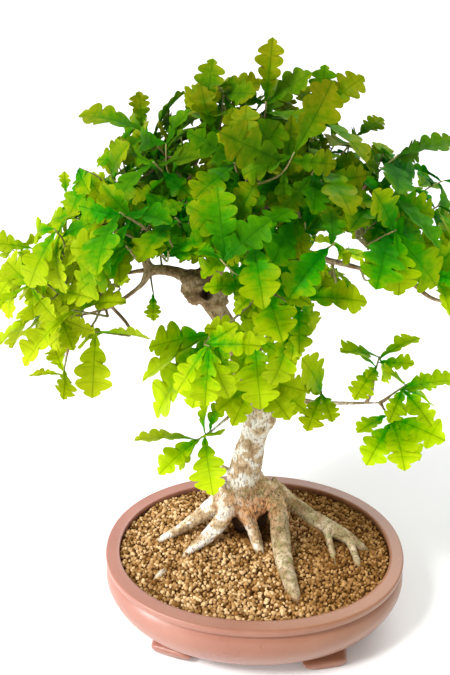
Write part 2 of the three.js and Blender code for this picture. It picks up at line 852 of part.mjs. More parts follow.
// Does a line cross a triangle?
function crosses(line, triangle) {
  const [p, q] = line;
  const [a, b, c] = triangle;
  const along = q.clone().sub(p);
  const ab = b.clone().sub(a);
  const ac = c.clone().sub(a);
  const h = along.clone().cross(ac);
  const scale = ab.dot(h);
  if (Math.abs(scale) < 1e-9) {
    return false;
  }
  const s = p.clone().sub(a);
  const u = s.dot(h) / scale;
  if (u < 0 || u > 1) {
    return false;
  }
  const w = s.cross(ab);
  const v = along.dot(w) / scale;
  if (v < 0 || u + v > 1) {
    return false;
  }
  const t = ac.dot(w) / scale;
  return t >= 0 && t <= 1;
}

function linesCross(lines, triangles) {
  return lines.some((line) => triangles.some((triangle) => crosses(line, triangle)));
}

function leavesTouch(one, other) {
  if (one.middle.distanceTo(other.middle) > one.reach + other.reach) {
    return false;
  }
  if (one.shoot === other.shoot) {
    return (
      linesCross(one.clear.lines, other.clear.triangles) ||
      linesCross(other.clear.lines, one.clear.triangles)
    );
  }
  return linesCross(one.lines, other.triangles) || linesCross(other.lines, one.triangles);
}

// A stretch of wood as its axis and four lines just outside its bark
function woodTrace(start, end, radius, shoot) {
  const along = end.clone().sub(start);
  const across = squareTo(along.clone().normalize());
  const third = new THREE.Vector3().crossVectors(along, across).normalize();
  const lines = [[start, end]];
  [across, third].forEach((side) => {
    [-1, 1].forEach((sign) => {
      const shift = side.clone().multiplyScalar(sign * (radius + CLEARANCE));
      lines.push([start.clone().add(shift), end.clone().add(shift)]);
    });
  });
  return { start, along, radius, lines, shoot };
}

function distanceToLine(point, start, along) {
  const share = point.clone().sub(start).dot(along) / along.lengthSq();
  const near = start.clone().addScaledVector(along, Math.min(Math.max(share, 0), 1));
  return near.distanceTo(point);
}

function leafHitsWood(trace, wood) {
  if (wood.shoot === trace.shoot) {
    return false;
  }
  const near = distanceToLine(trace.middle, wood.start, wood.along);
  if (near > trace.reach + wood.radius + CLEARANCE) {
    return false;
  }
  if (linesCross(wood.lines, trace.triangles)) {
    return true;
  }
  return trace.points.some(
    (point) => distanceToLine(point, wood.start, wood.along) < wood.radius + CLEARANCE,
  );
}

// Each further try goes to the other side of the last one
function swing(step, attempt) {
  return step * attempt * (attempt % 2 ? 1 : -1);
}

function varied([least, spread], random) {
  return least + spread * random();
}

// A leaf whose tip is given, faced towards the light and the viewer. Later tries roll it
// further about the line from its base to its tip.
function outlineLeaf(shoot, number, attempt, random) {
  const kind = OUTLINE_LEAF;
  const back = kind.firstBack + kind.spacing * number;
  const base = shoot.hub.clone().addScaledVector(shoot.lean, -back);
  const chord = shoot.tips[number].clone().sub(base);
  const reach = chord.length();
  chord.divideScalar(reach);
  const bend = varied(kind.bend, random);
  const fold = varied(kind.fold, random);
  const flat = -Math.sign(chord.x) * shoot.rolls[number];
  const roll = flat + kind.roll * (2 * random() - 1) + swing(kind.rollStep, attempt);
  const level = new THREE.Vector3().crossVectors(VIEWER_LIGHT, chord).normalize();
  const front = new THREE.Vector3().crossVectors(chord, level);
  const side = level.clone().multiplyScalar(Math.cos(roll)).addScaledVector(front, Math.sin(roll));
  const upper = new THREE.Vector3().crossVectors(chord, side);
  const half = bend / 2;
  const rib = chord.clone().multiplyScalar(Math.cos(half)).addScaledVector(upper, Math.sin(half));
  const face = upper.clone().multiplyScalar(Math.cos(half)).addScaledVector(chord, -Math.sin(half));
  const length = ((reach * half) / Math.sin(half)) * (1 - kind.shrinkStep * attempt);
  return { base, rib, side, face, length, bend, fold, shoot: shoot.index };
}

// A leaf that stands as it comes, each a golden angle round from the last. Later tries
// turn it further round and tilt it more.
function looseLeaf(shoot, number, attempt, random) {
  const kind = LOOSE_LEAF;
  const draw = () => 2 * random() - 1;
  const back = shoot.length * Math.min(kind.firstBack + kind.spacing * number, kind.lastBack);
  const base = shoot.hub.clone().addScaledVector(shoot.lean, -back);
  const tilt = kind.tilt + kind.tiltStep * attempt;
  const light = UP.clone()
    .multiplyScalar(kind.upward)
    .addScaledVector(shoot.outward, kind.outward)
    .add(new THREE.Vector3(draw(), draw(), draw()).multiplyScalar(tilt))
    .normalize();
  const first = shoot.outward.clone().addScaledVector(light, -shoot.outward.dot(light));
  first.normalize();
  const second = new THREE.Vector3().crossVectors(light, first);
  const sweep = number * GOLDEN_ANGLE + kind.turn * draw() + swing(kind.turnStep, attempt);
  const rib = first
    .clone()
    .multiplyScalar(Math.cos(sweep))
    .addScaledVector(second, Math.sin(sweep))
    .addScaledVector(shoot.lean, kind.alongStem)
    .addScaledVector(UP, -kind.droop)
    .normalize();
  const side = new THREE.Vector3().crossVectors(light, rib).normalize();
  const face = new THREE.Vector3().crossVectors(rib, side);
  const inner = 1 - kind.shrinkInside * (1 - Math.cos(sweep));
  const size = LEAF_MEAN_LENGTH + LEAF_LENGTH_SPREAD * draw();
  const length = size * inner * (1 - kind.shrinkStep * attempt);
  const bend = varied(kind.bend, random);
  const fold = varied(kind.fold, random);
  base.addScaledVector(rib, -kind.sink);
  return { base, rib, side, face, length, bend, fold, shoot: shoot.index };
}

function placeLeaves(shoots, branchlets) {
  const wood = [];
  const addWood = (rows, shoot) => {
    for (let i = 0; i + 1 < rows.length; i++) {
      const radius = Math.max(rows[i][3], rows[i + 1][3]);
      wood.push(woodTrace(vec(rows[i]), vec(rows[i + 1]), radius, shoot));
    }
  };
  [TRUNK, ...BRANCHES, ...SPURS].forEach((rows) => addWood(rows, -1));
  branchlets.forEach(({ rows }) => addWood(rows, -1));
  shoots.forEach((shoot) => {
    wood.push(woodTrace(shoot.root, shoot.hub, SHOOT_RADIUS, shoot.index));
  });
  const traces = [];
  const leaves = shoots.map(() => []);
  shoots.forEach((shoot) => {
    const random = randomStream(LEAF_SEED + shoot.index);
    const outlined = shoot.tips.length;
    for (let number = 0; number < outlined + shoot.loose; number++) {
      const kind = number < outlined ? outlineLeaf : looseLeaf;
      for (let attempt = 0; attempt < LEAF_TRIES; attempt++) {
        const leaf = kind(shoot, number, attempt, random);
        const trace = leafTrace(leaf);
        const blocked =
          traces.some((other) => leavesTouch(trace, other)) ||
          wood.some((piece) => leafHitsWood(trace, piece));
        if (!blocked) {
          traces.push(trace);
          leaves[shoot.index].push(leaf);
          break;
        }
      }
    }
  });
  return leaves;
}

// The stem starts a small gap above the square end of its branchlet
function makeShoot(shoot, leaves) {
  const start = shoot.root.clone().addScaledVector(shoot.lean, SHOOT_GAP);
  const middle = shoot.root.clone().lerp(shoot.hub, 0.5);
  const rows = [
    [start.x, start.y, start.z, SHOOT_RADIUS],
    [middle.x, middle.y, middle.z, (SHOOT_RADIUS + SHOOT_TIP_RADIUS) / 2],
    [shoot.hub.x, shoot.hub.y, shoot.hub.z, SHOOT_TIP_RADIUS],
  ];
  return joined([limb(rows, TWIG_SIDES), ...leaves.map(leafSolid)]);
}

// The whole

const bonsai = new THREE.Group();
bonsai.name = 'english_oak_bonsai';

const { shoots, branchlets } = layShoots();
const leaves = placeLeaves(shoots, branchlets);

bonsai.add(meshOf('pot', makePot(), 0xc99a82, 0.6));
bonsai.add(meshOf('soil', makeSoil(), 0xb98a54, 1));
bonsai.add(meshOf('drain_net_left', makeNet(NET_PLACES[0]), 0x2d2f30, 0.7));
bonsai.add(meshOf('drain_net_right', makeNet(NET_PLACES[1]), 0x2d2f30, 0.7));
bonsai.add(meshOf('tree_wood', makeWood(branchlets), 0xc9b89a, 0.9));
shoots.forEach((shoot) => {
  const number = String(shoot.index + 1).padStart(2, '0');
  const body = makeShoot(shoot, leaves[shoot.index]);
  bonsai.add(meshOf(`leafy_shoot_${number}`, body, 0x6f9a10, 0.6));
});

export default bonsai;
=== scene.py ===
# English oak bonsai in an oval unglazed clay pot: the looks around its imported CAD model.
# Shapes are worked out in millimetres, as the solids are, and MM takes them to metres.

import math
from collections import namedtuple

import bmesh
import bpy
import numpy as np
from mathutils import Matrix, Vector, noise


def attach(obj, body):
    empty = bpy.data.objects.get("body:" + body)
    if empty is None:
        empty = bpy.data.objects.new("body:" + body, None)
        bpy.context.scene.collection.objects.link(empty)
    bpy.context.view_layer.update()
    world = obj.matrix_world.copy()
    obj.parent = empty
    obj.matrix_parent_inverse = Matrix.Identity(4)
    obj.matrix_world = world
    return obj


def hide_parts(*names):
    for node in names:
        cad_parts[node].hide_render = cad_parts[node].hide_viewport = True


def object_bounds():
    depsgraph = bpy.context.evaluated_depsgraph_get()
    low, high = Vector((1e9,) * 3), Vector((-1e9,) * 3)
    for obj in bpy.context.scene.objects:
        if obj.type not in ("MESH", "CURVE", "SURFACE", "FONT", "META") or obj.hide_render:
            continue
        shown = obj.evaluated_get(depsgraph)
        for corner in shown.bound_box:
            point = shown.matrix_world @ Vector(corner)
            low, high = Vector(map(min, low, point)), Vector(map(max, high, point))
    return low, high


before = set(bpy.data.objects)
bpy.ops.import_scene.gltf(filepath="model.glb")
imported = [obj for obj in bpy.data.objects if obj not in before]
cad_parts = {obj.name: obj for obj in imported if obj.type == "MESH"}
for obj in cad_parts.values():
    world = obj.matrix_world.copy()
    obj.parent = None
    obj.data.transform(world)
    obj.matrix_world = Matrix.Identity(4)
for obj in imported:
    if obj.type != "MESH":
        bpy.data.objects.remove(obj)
cad_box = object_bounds()

MM = 0.001
UP = np.array([0.0, 0.0, 1.0])

# Pot and soil, as in the solids

POT_HALF_LENGTH = 170
POT_HALF_WIDTH = 131
POT_HEIGHT = 88
POT_SQUARENESS = 2.1
RIM_WIDTH = 16
UNDERSIDE_HEIGHT = 8
FLOOR_HEIGHT = 18
DRAIN_HOLE_RADIUS = 11
DRAIN_HOLE_X = 70
SOIL_HEIGHT = 82.5
SOIL_MOUND = 3
SOIL_MOUND_WIDTH = 78
SEAT_GAP = 0.4
NET_SPACE = 18.4

# Inward from the rim's edge, then height: the underside, up the outside and down the inside
POT_PROFILE = [
    (60, UNDERSIDE_HEIGHT), (38, UNDERSIDE_HEIGHT), (34, 8.6), (26, 13), (19, 19.5), (12, 28),
    (7, 36), (3.4, 43.5), (0.8, 50), (-0.8, 56), (-1.2, 61), (-0.9, 65), (0, 69), (1.2, 71.8),
    (2.6, 74), (3.8, 75.6), (4.4, 76.7), (4.2, 77.7), (3, 78.5), (1.5, 79.2), (0.6, 80.2),
    (0, 82), (0, 86), (0.3, 87.3), (1.1, POT_HEIGHT), (3, POT_HEIGHT), (12, POT_HEIGHT),
    (14.6, 87.9), (15.4, 87.2), (15.5, 86), (14.4, 80), (13, 74), (14, 58), (17, 42), (26, 27),
    (38, FLOOR_HEIGHT), (60, FLOOR_HEIGHT),
]
GROOVE_HEIGHT = 77
GROOVE_REACH = 2.6
WORN_EDGE = 1.2
POT_SIDES = 144

FOOT_OUTLINE = [(-30, 12), (-22, 5.5), (-12, 0), (13, 0), (18, 3), (20, 8), (17, 15), (-20, 15)]
FOOT_X = 88
FOOT_Y = 84
FOOT_DEPTH = 24
FOOT_TWIST = math.radians(-4)
FOOT_SPLAY = 0.22
FOOT_BATTER = 4 / 12
FOOT_FRONT_SET = 4
FOOT_MIDDLE = 84
# How far through the foot each slice lies, and how wide it is
FOOT_SLICES = [(0, 0.8), (0.03, 0.9), (0.1, 0.97), (0.22, 1), (1, 1)]

# Wood, as in the solids: each row is x, y, z and radius

TRUNK = [
    (-6, 44, 58, 17), (-6, 44, 84, 21), (-7, 42, 106, 24), (-8, 39, 126, 27), (-10, 37, 142, 24),
    (-12, 35, 160, 19.5), (-8, 33, 186, 16.5), (-3, 30, 209, 15), (1, 28, 228, 15.5),
    (3, 27, 238, 17.5), (3, 25, 248, 16), (0, 23, 262, 12.5), (-8, 21, 280, 11), (-15, 19, 297, 11),
    (-15, 17, 315, 12), (-19, 15, 334, 11.5), (-30, 12, 356, 9.5), (-42, 10, 378, 10),
    (-50, 9, 396, 12),
]
ROOTS = [
    # left, then left front, which dives and shows again by the rim
    [(-22, 40, 138, 13), (-44, 36, 116, 11), (-66, 27, 102, 8), (-90, 17, 90, 6),
     (-108, 9, 82, 4.5), (-122, 4, 72, 3)],
    [(-22, 30, 132, 13), (-38, 14, 108, 9.5), (-54, 2, 95, 8), (-72, -10, 84, 5.5),
     (-88, -27, 75, 4), (-101, -43, 81, 4.5), (-110, -58, 78, 4), (-114, -70, 70, 2.5)],
    # short front and big front
    [(-10, 24, 122, 11), (-3, 10, 103, 7.5), (5, -4, 87, 6.5), (10, -14, 74, 4)],
    [(14, 34, 138, 13), (26, 18, 124, 11.5), (30, -2, 106, 10.5), (32, -26, 93, 10),
     (37, -54, 86, 9), (44, -78, 79, 7), (48, -90, 70, 4)],
    # right, with its two forks
    [(16, 40, 138, 13), (46, 32, 120, 9.5), (72, 22, 106, 8.5), (98, 12, 95, 8),
     (122, 2, 84, 6), (136, -4, 73, 3)],
    [(82, 18, 100, 5), (88, -4, 88, 4), (91, -24, 80, 3.5), (92, -34, 73, 2.5)],
    [(108, 8, 90, 5), (114, -12, 86, 4), (117, -30, 79, 3.5), (118, -40, 72, 2.5)],
    # back left and back right
    [(-18, 52, 130, 13), (-34, 74, 104, 8.5), (-48, 92, 86, 6), (-54, 102, 72, 3.5)],
    [(8, 52, 130, 13), (28, 72, 103, 8.5), (45, 90, 86, 6), (54, 99, 72, 3.5)],
]
BRANCHES = [
    # the leader through the middle of the crown
    [(-48, 8, 405, 9), (-40, 7, 428, 8), (-28, 3, 454, 7), (-15, -1, 482, 6), (-5, -5, 510, 5),
     (-1, -8, 534, 3.4)],
    # low left, out of the burl
    [(-62, 8, 408, 8), (-78, 9, 416, 6), (-95, 11, 419, 5.5), (-108, 13, 416, 5.5),
     (-116, 12, 403, 3.2), (-133, 8, 390, 2.8), (-150, 0, 382, 2.6), (-174, -10, 379, 2.5),
     (-196, -18, 380, 2.3)],
    # upper left and upper right
    [(-28, 3, 454, 5.5), (-58, -4, 474, 4.8), (-92, -12, 476, 4.2), (-128, -20, 462, 3.6),
     (-162, -22, 444, 3)],
    [(-15, -1, 482, 5), (18, -4, 494, 4.6), (54, -8, 492, 4.2), (92, -12, 480, 3.6),
     (128, -16, 462, 3), (158, -18, 444, 2.6)],
    # front, high and low
    [(-28, 3, 454, 5), (-24, -26, 470, 4.2), (-16, -58, 474, 3.6), (-6, -88, 466, 3)],
    [(-26, 13, 350, 6), (-22, -10, 366, 4), (-14, -36, 378, 3.2), (-6, -58, 384, 2.6)],
    # right, middle height
    [(-40, 7, 428, 6), (-12, 0, 440, 4.4), (26, -8, 446, 4), (66, -18, 440, 3.6),
     (104, -30, 434, 3), (138, -36, 426, 2.6)],
    # back, back left and back right
    [(-40, 7, 428, 6), (-34, 38, 448, 4.6), (-24, 72, 456, 4), (-12, 104, 450, 3)],
    [(-28, 3, 454, 5), (-58, 30, 470, 4.2), (-92, 54, 466, 3.6), (-124, 70, 448, 2.8)],
    [(-15, -1, 482, 5), (18, 28, 490, 4.2), (56, 52, 480, 3.6), (94, 68, 460, 2.8)],
    # low ones behind
    [(-15, 18, 310, 6), (14, 40, 334, 4), (46, 64, 358, 3.4), (80, 82, 382, 2.6)],
    [(-56, 14, 404, 7), (-84, 38, 408, 4.4), (-118, 54, 402, 3.6), (-154, 60, 392, 2.8)],
    # low right, out of the knob
    [(8, 19, 280, 7), (30, 12, 277, 4), (56, 1, 277, 3.2), (80, -8, 281, 2.9),
     (104, -14, 285, 2.6), (124, -18, 288, 2.3)],
]
SPURS = [
    [(-18, 34, 158, 6), (-32, 30, 168, 4), (-38, 28, 176, 2.2)],
    [(-16, 30, 142, 9), (-34, 24, 152, 5), (-44, 20, 157, 2.4)],
    [(8, 28, 148, 8), (20, 20, 154, 5), (27, 16, 160, 2.4)],
    [(-40, 8, 418, 5), (-37, 4, 432, 3.4), (-36, 2, 440, 2.2)],
    [(-106, 13, 414, 5.5), (-110, 14, 424, 5), (-112, 15, 433, 3.2)],
]
KNOBS = [(12, 19, 281, 10), (-66, 4, 412, 11), (-40, 2, 392, 10), (8, 26, 144, 11)]
# Heights of the bark's colours: where its brown starts and its white ends, where the root
# crown's ring lies, and how far up the soil's stain and the shade of the roots reach
BROWN_FROM = 262
WHITE_TO = 300
RING_HEIGHT = 147
STAIN_TO = 89
SHADE_TO = 122
BURL = (-53, 8, 402)
BURL_SIZE = (23, 17, 19)
BURL_HOLLOW = [(-52, -26, 400, 6.5), (-52, -10, 401, 6), (-52, 2, 403, 4)]

# The roots' rough crown under the trunk, and the soil in its shade
ROOT_CROWN = (2, 26, 122)
ROOT_CROWN_SIZE = (36, 30, 26)
CROWN_SHADE = (2, 24)
CROWN_SHADE_SIZE = (34, 24)

# Leafy stems, as in the solids: the middle of each, how many loose leaves, and given tips,
# with how far a leaf is rolled back to lie flat
SHOOTS = [
    # top of the crown
    (2, -10, 582, 2, (6, -18, 634), (40, -16, 606)),
    (48, -14, 576, 1, (51, -10, 612), (85, -6, 602)),
    (-50, -20, 576, 2, (-43, -14, 617)),
    (-108, 4, 556, 1, (-110, 10, 587), (-166, 14, 565, 0.15)),
    (84, 6, 550, 2, (110, 24, 562)),
    (117, -24, 540, 2, (170, -18, 549, 0.35)),
    # front of the crown
    (-92, -56, 540, 3), (-24, -84, 546, 2), (42, -82, 544, 2), (102, -64, 516, 3),
    (-70, -108, 508, 3), (-126, -72, 488, 3), (-10, -134, 502, 3),
    (54, -126, 494, 2, (67, -122, 476)),
    (-112, -118, 515, 2), (0, -136, 462, 3),
    (106, -98, 496, 1, (111, -110, 444), (146, -90, 445)),
    # sides of the crown
    (-177, -16, 502, 2, (-177, -12, 521)),
    (166, 4, 488, 3),
    (-206, -40, 458, 2, (-246, -44, 464)),
    (162, -60, 442, 3), (220, -12, 444, 3), (-164, -86, 418, 2), (204, -46, 420, 3),
    (-212, -30, 388, 3), (226, 34, 400, 3), (-214, 42, 404, 3),
    # back of the crown
    (0, 56, 562, 3), (-68, 64, 538, 3), (72, 60, 532, 3), (-134, 80, 500, 3), (128, 76, 484, 3),
    (0, 112, 516, 3), (-64, 138, 466, 3), (64, 138, 460, 3), (-172, 66, 446, 3),
    (172, 70, 430, 3), (-106, 138, 410, 3), (104, 136, 400, 3),
    # low ones, from left to right
    (-192, -34, 324, 0, (-228, -30, 321, 0.7), (-208, 4, 336), (-185, -70, 318, 0.9)),
    (-151, -62, 386, 1, (-152, -92, 333), (-99, -72, 384, 1.1)),
    (-62, -24, 244, 0, (-125, -40, 253, 0.9), (-36, -48, 267, 0.9), (-100, -52, 220, 0.6),
     (-44, -64, 204)),
    (-44, -70, 388, 0, (-107, -84, 346, 0.8), (-103, -58, 368), (-60, -106, 332),
     (-97, -72, 301, 0.5)),
    (0, -32, 318, 1, (-40, -62, 302), (44, -52, 320), (30, -66, 296)),
    (-6, -92, 396, 3),
    (30, -120, 446, 1, (84, -122, 443), (43, -104, 407)),
    (64, -24, 304, 0, (18, -66, 310), (72, -56, 288), (40, -48, 354), (48, -56, 277)),
    (122, -4, 334, 0, (78, -34, 353, 0.5), (165, 14, 346, 0.6), (154, -20, 334), (96, -30, 298)),
    (148, -22, 312, 0, (119, -44, 338, 0.4), (126, -58, 289), (168, -58, 286),
     (198, -26, 318, 0.5)),
    (134, -42, 280, 0, (105, -76, 252), (139, -90, 256), (180, -68, 276), (97, -56, 276, 0.4)),
]
CROWN_MIDDLE = np.array([0.0, 0.0, 400.0])
SHOOT_LENGTH = 34
LOW_SHOOT_HEIGHT = 350
LOW_SHOOT_LENGTH = 20
SHOOT_RADIUS = 1.9
SHOOT_TIP_RADIUS = 1.2
SLENDER = 0.62
SHOOT_LIFT = 0.35
SHOOT_GAP = 0.3
CARRIER_SHARES = (0, 0.35, 0.7, 1)
TRUNK_CARRIES = slice(6, 17)
BACKWARD_COST = 0.35
BRANCHLET_RADIUS = 2.6
BRANCHLET_TAPER = 0.85
BRANCHLET_BEND = 0.35
BRANCHLET_SET_OFF = 0.21
BRANCHLET_STATIONS = (0, 0.55, 1)

# Leaves, as in the solids

LEAF_EDGE = [(0.26, 0.14), (0.37, 0.085), (0.53, 0.255), (0.62, 0.145), (0.79, 0.245)]
LEAF_RIB = 0.5
LEAF_BASE_SHARE = 0.25
LEAF_REACH = 0.56
LEAF_TRIES = 16
LEAF_SEED = 1000
CLEARANCE = 1.3
GOLDEN_ANGLE = math.radians(137.508)
VIEWER_LIGHT = np.array([0, -0.6, 0.8])

# How leaves stand: how far they stray from the light and from their turn, how far each further
# try turns and shrinks them, how much they lean on and droop, their length and its spread, how
# much shorter the inner ones are, and their bend and fold, each as the least and the range
Habit = namedtuple("Habit", "stray turn_stray turn shrink lean droop length spread inner bend fold")
SOLID_HABIT = Habit(0.2, 0.35, 0.42, 0.015, 0.3, 0.12, 60, 12, 0.16, (0.35, 0.45), (0.12, 0.2))
ADDED_HABIT = Habit(0.42, 0.5, 0.5, 0.02, 0.35, 0.3, 54, 14, 0.14, (0.15, 0.85), (0.05, 0.35))
STRAY_STEP = 0.03
LEAF_SET_BACK = 0.4

# Fine leaves are fuller than those of the solids, wherever there is room
BROAD_EDGE = [(0.2, 0.14), (0.44, 0.245), (0.68, 0.295), (0.89, 0.2)]
FULL_WIDTHS = (1.0, 0.92, 0.84, 0.76)

# What is added to them: leaves on the same stems, and leafy twigs on the branches
LOW_SHOOTS = 39
LEFT_SHOOTS = (3, 17, 19, 22, 24, 26, 35, 40)
UPPER_LEFT_SHOOTS = (3, 17, 28)
EXTRA_LEAVES = 5
LOW_EXTRA_LEAVES = 3
EXTRA_SEED = 5000
EXTRA_TRIES = 12
# The stems that twigs are tried near, and how often: all of the crown's, then two groups of them
TWIG_ROUNDS = [(range(LOW_SHOOTS), 1000), (LEFT_SHOOTS, 400), (UPPER_LEFT_SHOOTS, 150)]
TWIG_LONGEST = 90
LOW_TWIG_HEIGHT = 400
LOW_TWIG_LONGEST = 45
TWIG_LEAVES = 5
TWIG_LEAF_STEP = 0.18
TWIG_DEPTH = 26
TWIG_SPREAD = np.array([62.0, 62.0, 46.0])
TWIG_LENGTH = 20
TWIG_RADII = (1.3, 0.8)
TWIG_LOWEST = 350
TWIG_SEED = 9000
TWIG_NUMBERS = 1000
TWIG_GROUPS = 10
BOX_MARGIN = 1.2
# Above which height added leaves hang steeper, and where leaves get more or less painted light,
# each as a start and a width
STEEP_LEAVES = (440, 100)
LOW_LEAVES = (525, 130)
HIGH_LEAVES = (500, 70)
LEFT_LEAVES = (-100, 70)
RIGHT_LEAVES = (60, 60)

# The leaf that hangs alone under the left branch, with its stalk
HANGING_STALK = [(-107, 12, 413, 1.1), (-105, 3, 406, 0.9), (-103, -4, 400, 0.7)]
HANGING_TIP = (-103, -12, 374)

# The photograph's view, 450 by 675 pixels
VIEWPOINT = np.array([-17.6, -685.9, 684.5])
VIEW_FORWARD = np.array([-0.0207, 0.8992, -0.437])
VIEW_RIGHT = np.array([0.9997, 0.023, 0.0])
VIEW_SIZE = (450, 675)
SENSOR_HEIGHT = 36
LENS = 40.53

# Outline of the leaves as it shows there in pixels, and the openings in it. Added leaves keep
# inside the one and off the others, so that the burl, the left branch and the sky stay in sight.
VIEW_OUTLINE = [
    (-80, 262), (0, 226), (27, 221), (48, 206), (53, 184), (72, 170), (78, 152), (102, 145),
    (124, 128), (126, 104), (138, 91), (152, 110), (176, 82), (200, 71), (214, 76), (246, 72),
    (252, 48), (274, 38), (288, 58), (304, 68), (326, 61), (340, 80), (364, 73), (358, 102),
    (376, 118), (374, 140), (396, 145), (426, 133), (450, 142), (540, 170), (540, 480),
    (-80, 480),
]
BURL_OPENING = [
    (133, 264), (150, 261), (192, 266), (214, 260), (222, 266), (232, 300), (226, 330), (212, 312),
    (200, 328), (178, 326), (150, 345), (118, 326), (96, 324), (84, 312), (104, 298), (132, 286),
]
RIGHT_OPENING = [
    (318, 232), (342, 236), (366, 250), (350, 274), (372, 288), (396, 300), (420, 290), (436, 286),
    (450, 302), (540, 330), (540, 360), (420, 338), (372, 334), (340, 346), (332, 374), (304, 362),
    (320, 336), (326, 304), (352, 315), (372, 306), (352, 282), (334, 262), (314, 248),
]
LOW_OPENING = [
    (-80, 390), (0, 362), (30, 344), (48, 350), (76, 354), (78, 388), (96, 404), (112, 388),
    (116, 360), (102, 346), (100, 330), (150, 345), (140, 385), (152, 412), (190, 412), (184, 430),
    (130, 480), (-80, 480),
]
TRUNK_OPENING = [
    (350, 403), (338, 406), (326, 423), (316, 440), (302, 438), (290, 424), (272, 424),
    (262, 480), (360, 480), (358, 440), (356, 420), (372, 410),
]
VIEW_OPENINGS = (BURL_OPENING, RIGHT_OPENING, LOW_OPENING, TRUNK_OPENING)


# Small maths


def unit(v):
    return v / math.sqrt(v @ v)


def random_stream(seed):
    """A repeatable random stream between 0 and 1, the same as the solids use."""
    word = 0xFFFFFFFF
    state = seed & word

    def draw():
        nonlocal state
        state = (state + 0x6D2B79F5) & word
        t = state
        t = ((t ^ (t >> 15)) * (t | 1)) & word
        t ^= (t + (t ^ (t >> 7)) * (t | 61)) & word
        return ((t ^ (t >> 14)) & word) / 4294967296

    return draw


def rise(value, start, width, top=1.0):
    """How far a value has come above a start, as a share of the width, from 0 to the top."""
    return np.clip((value - start) / width, 0, top)


def fall(value, start, width, top=1.0):
    """How far a value has come below a start, as a share of the width, from 0 to the top."""
    return np.clip((start - value) / width, 0, top)


def square_to(direction):
    other = UP if abs(direction[2]) < 0.9 else np.array([1.0, 0.0, 0.0])
    return unit(np.cross(other, direction))


def smooth_rows(rows, steps):
    """Rows of x, y, z and radius, with steps more to each stretch, on one smooth curve."""
    rows = np.array(rows, float)
    padded = np.vstack([2 * rows[0] - rows[1], rows, 2 * rows[-1] - rows[-2]])
    out = []
    for i in range(len(rows) - 1):
        a, b, c, d = padded[i:i + 4]
        for t in np.arange(steps) / steps:
            curve = 2 * b + (c - a) * t + (2 * a - 5 * b + 4 * c - d) * t**2
            out.append(0.5 * (curve + (3 * b - a - 3 * c + d) * t**3))
    out.append(rows[-1])
    return np.array(out)


# Meshes


def linked(name, data):
    """An object in the scene, made from its mesh, light or camera."""
    obj = bpy.data.objects.new(name, data)
    bpy.context.scene.collection.objects.link(obj)
    return obj


def loose_object(name, points, faces):
    """A mesh object from points in millimetres."""
    mesh = bpy.data.meshes.new(name)
    mesh.from_pydata(np.asarray(points, float) * MM, [], faces)
    return linked(name, mesh)


def piece(name, points, faces, slot, material):
    """A smooth mesh object that rides on the part."""
    obj = loose_object(name, points, faces)
    smooth(obj.data)
    obj.data.materials.append(material)
    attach(obj, "root")
    return obj


def smooth(mesh):
    mesh.polygons.foreach_set("use_smooth", [True] * len(mesh.polygons))


def mesh_points(mesh):
    """The mesh's points in millimetres."""
    points = np.empty(len(mesh.vertices) * 3, np.float32)
    mesh.vertices.foreach_get("co", points)
    return points.reshape(-1, 3) / MM


def give(mesh, name, values, kind="FLOAT_VECTOR"):
    """Puts one value for each point on the mesh under a name that its material reads."""
    layer = mesh.attributes.new(name, kind, "POINT")
    field = "value" if kind == "FLOAT" else "vector"
    layer.data.foreach_set(field, np.asarray(values, np.float32).ravel())


def skin(rings, sides):
    """Faces over rings of points, with one face to close each end."""
    faces = [
        (r * sides + k, r * sides + (k + 1) % sides, (r + 1) * sides + (k + 1) % sides,
         (r + 1) * sides + k)
        for r in range(rings - 1)
        for k in range(sides)
    ]
    faces.append(tuple(range(sides))[::-1])
    faces.append(tuple((rings - 1) * sides + k for k in range(sides)))
    return faces


def tube(rows, sides, ripple=None):
    """Points and faces of a closed limb. ripple(angles, row number) scales its radius."""
    rows = np.asarray(rows, float)
    count = len(rows)
    across = None
    points = []
    angles = 2 * np.pi * np.arange(sides) / sides
    for i, row in enumerate(rows):
        along = unit(rows[min(i + 1, count - 1)][:3] - rows[max(i - 1, 0)][:3])
        across = square_to(along) if across is None else unit(across - along * (across @ along))
        third = np.cross(along, across)
        radius = row[3] * (ripple(angles, i) if ripple else np.ones(sides))
        ring = np.outer(radius * np.cos(angles), across) + np.outer(radius * np.sin(angles), third)
        points.append(row[:3] + ring)
    return np.vstack(points), skin(count, sides)


def gather(parts):
    """Joins pairs of points and faces into one pair."""
    points, faces, start = [], [], 0
    for part_points, part_faces in parts:
        points.append(part_points)
        faces += [tuple(start + i for i in face) for face in part_faces]
        start += len(part_points)
    return np.vstack(points), faces


# Materials


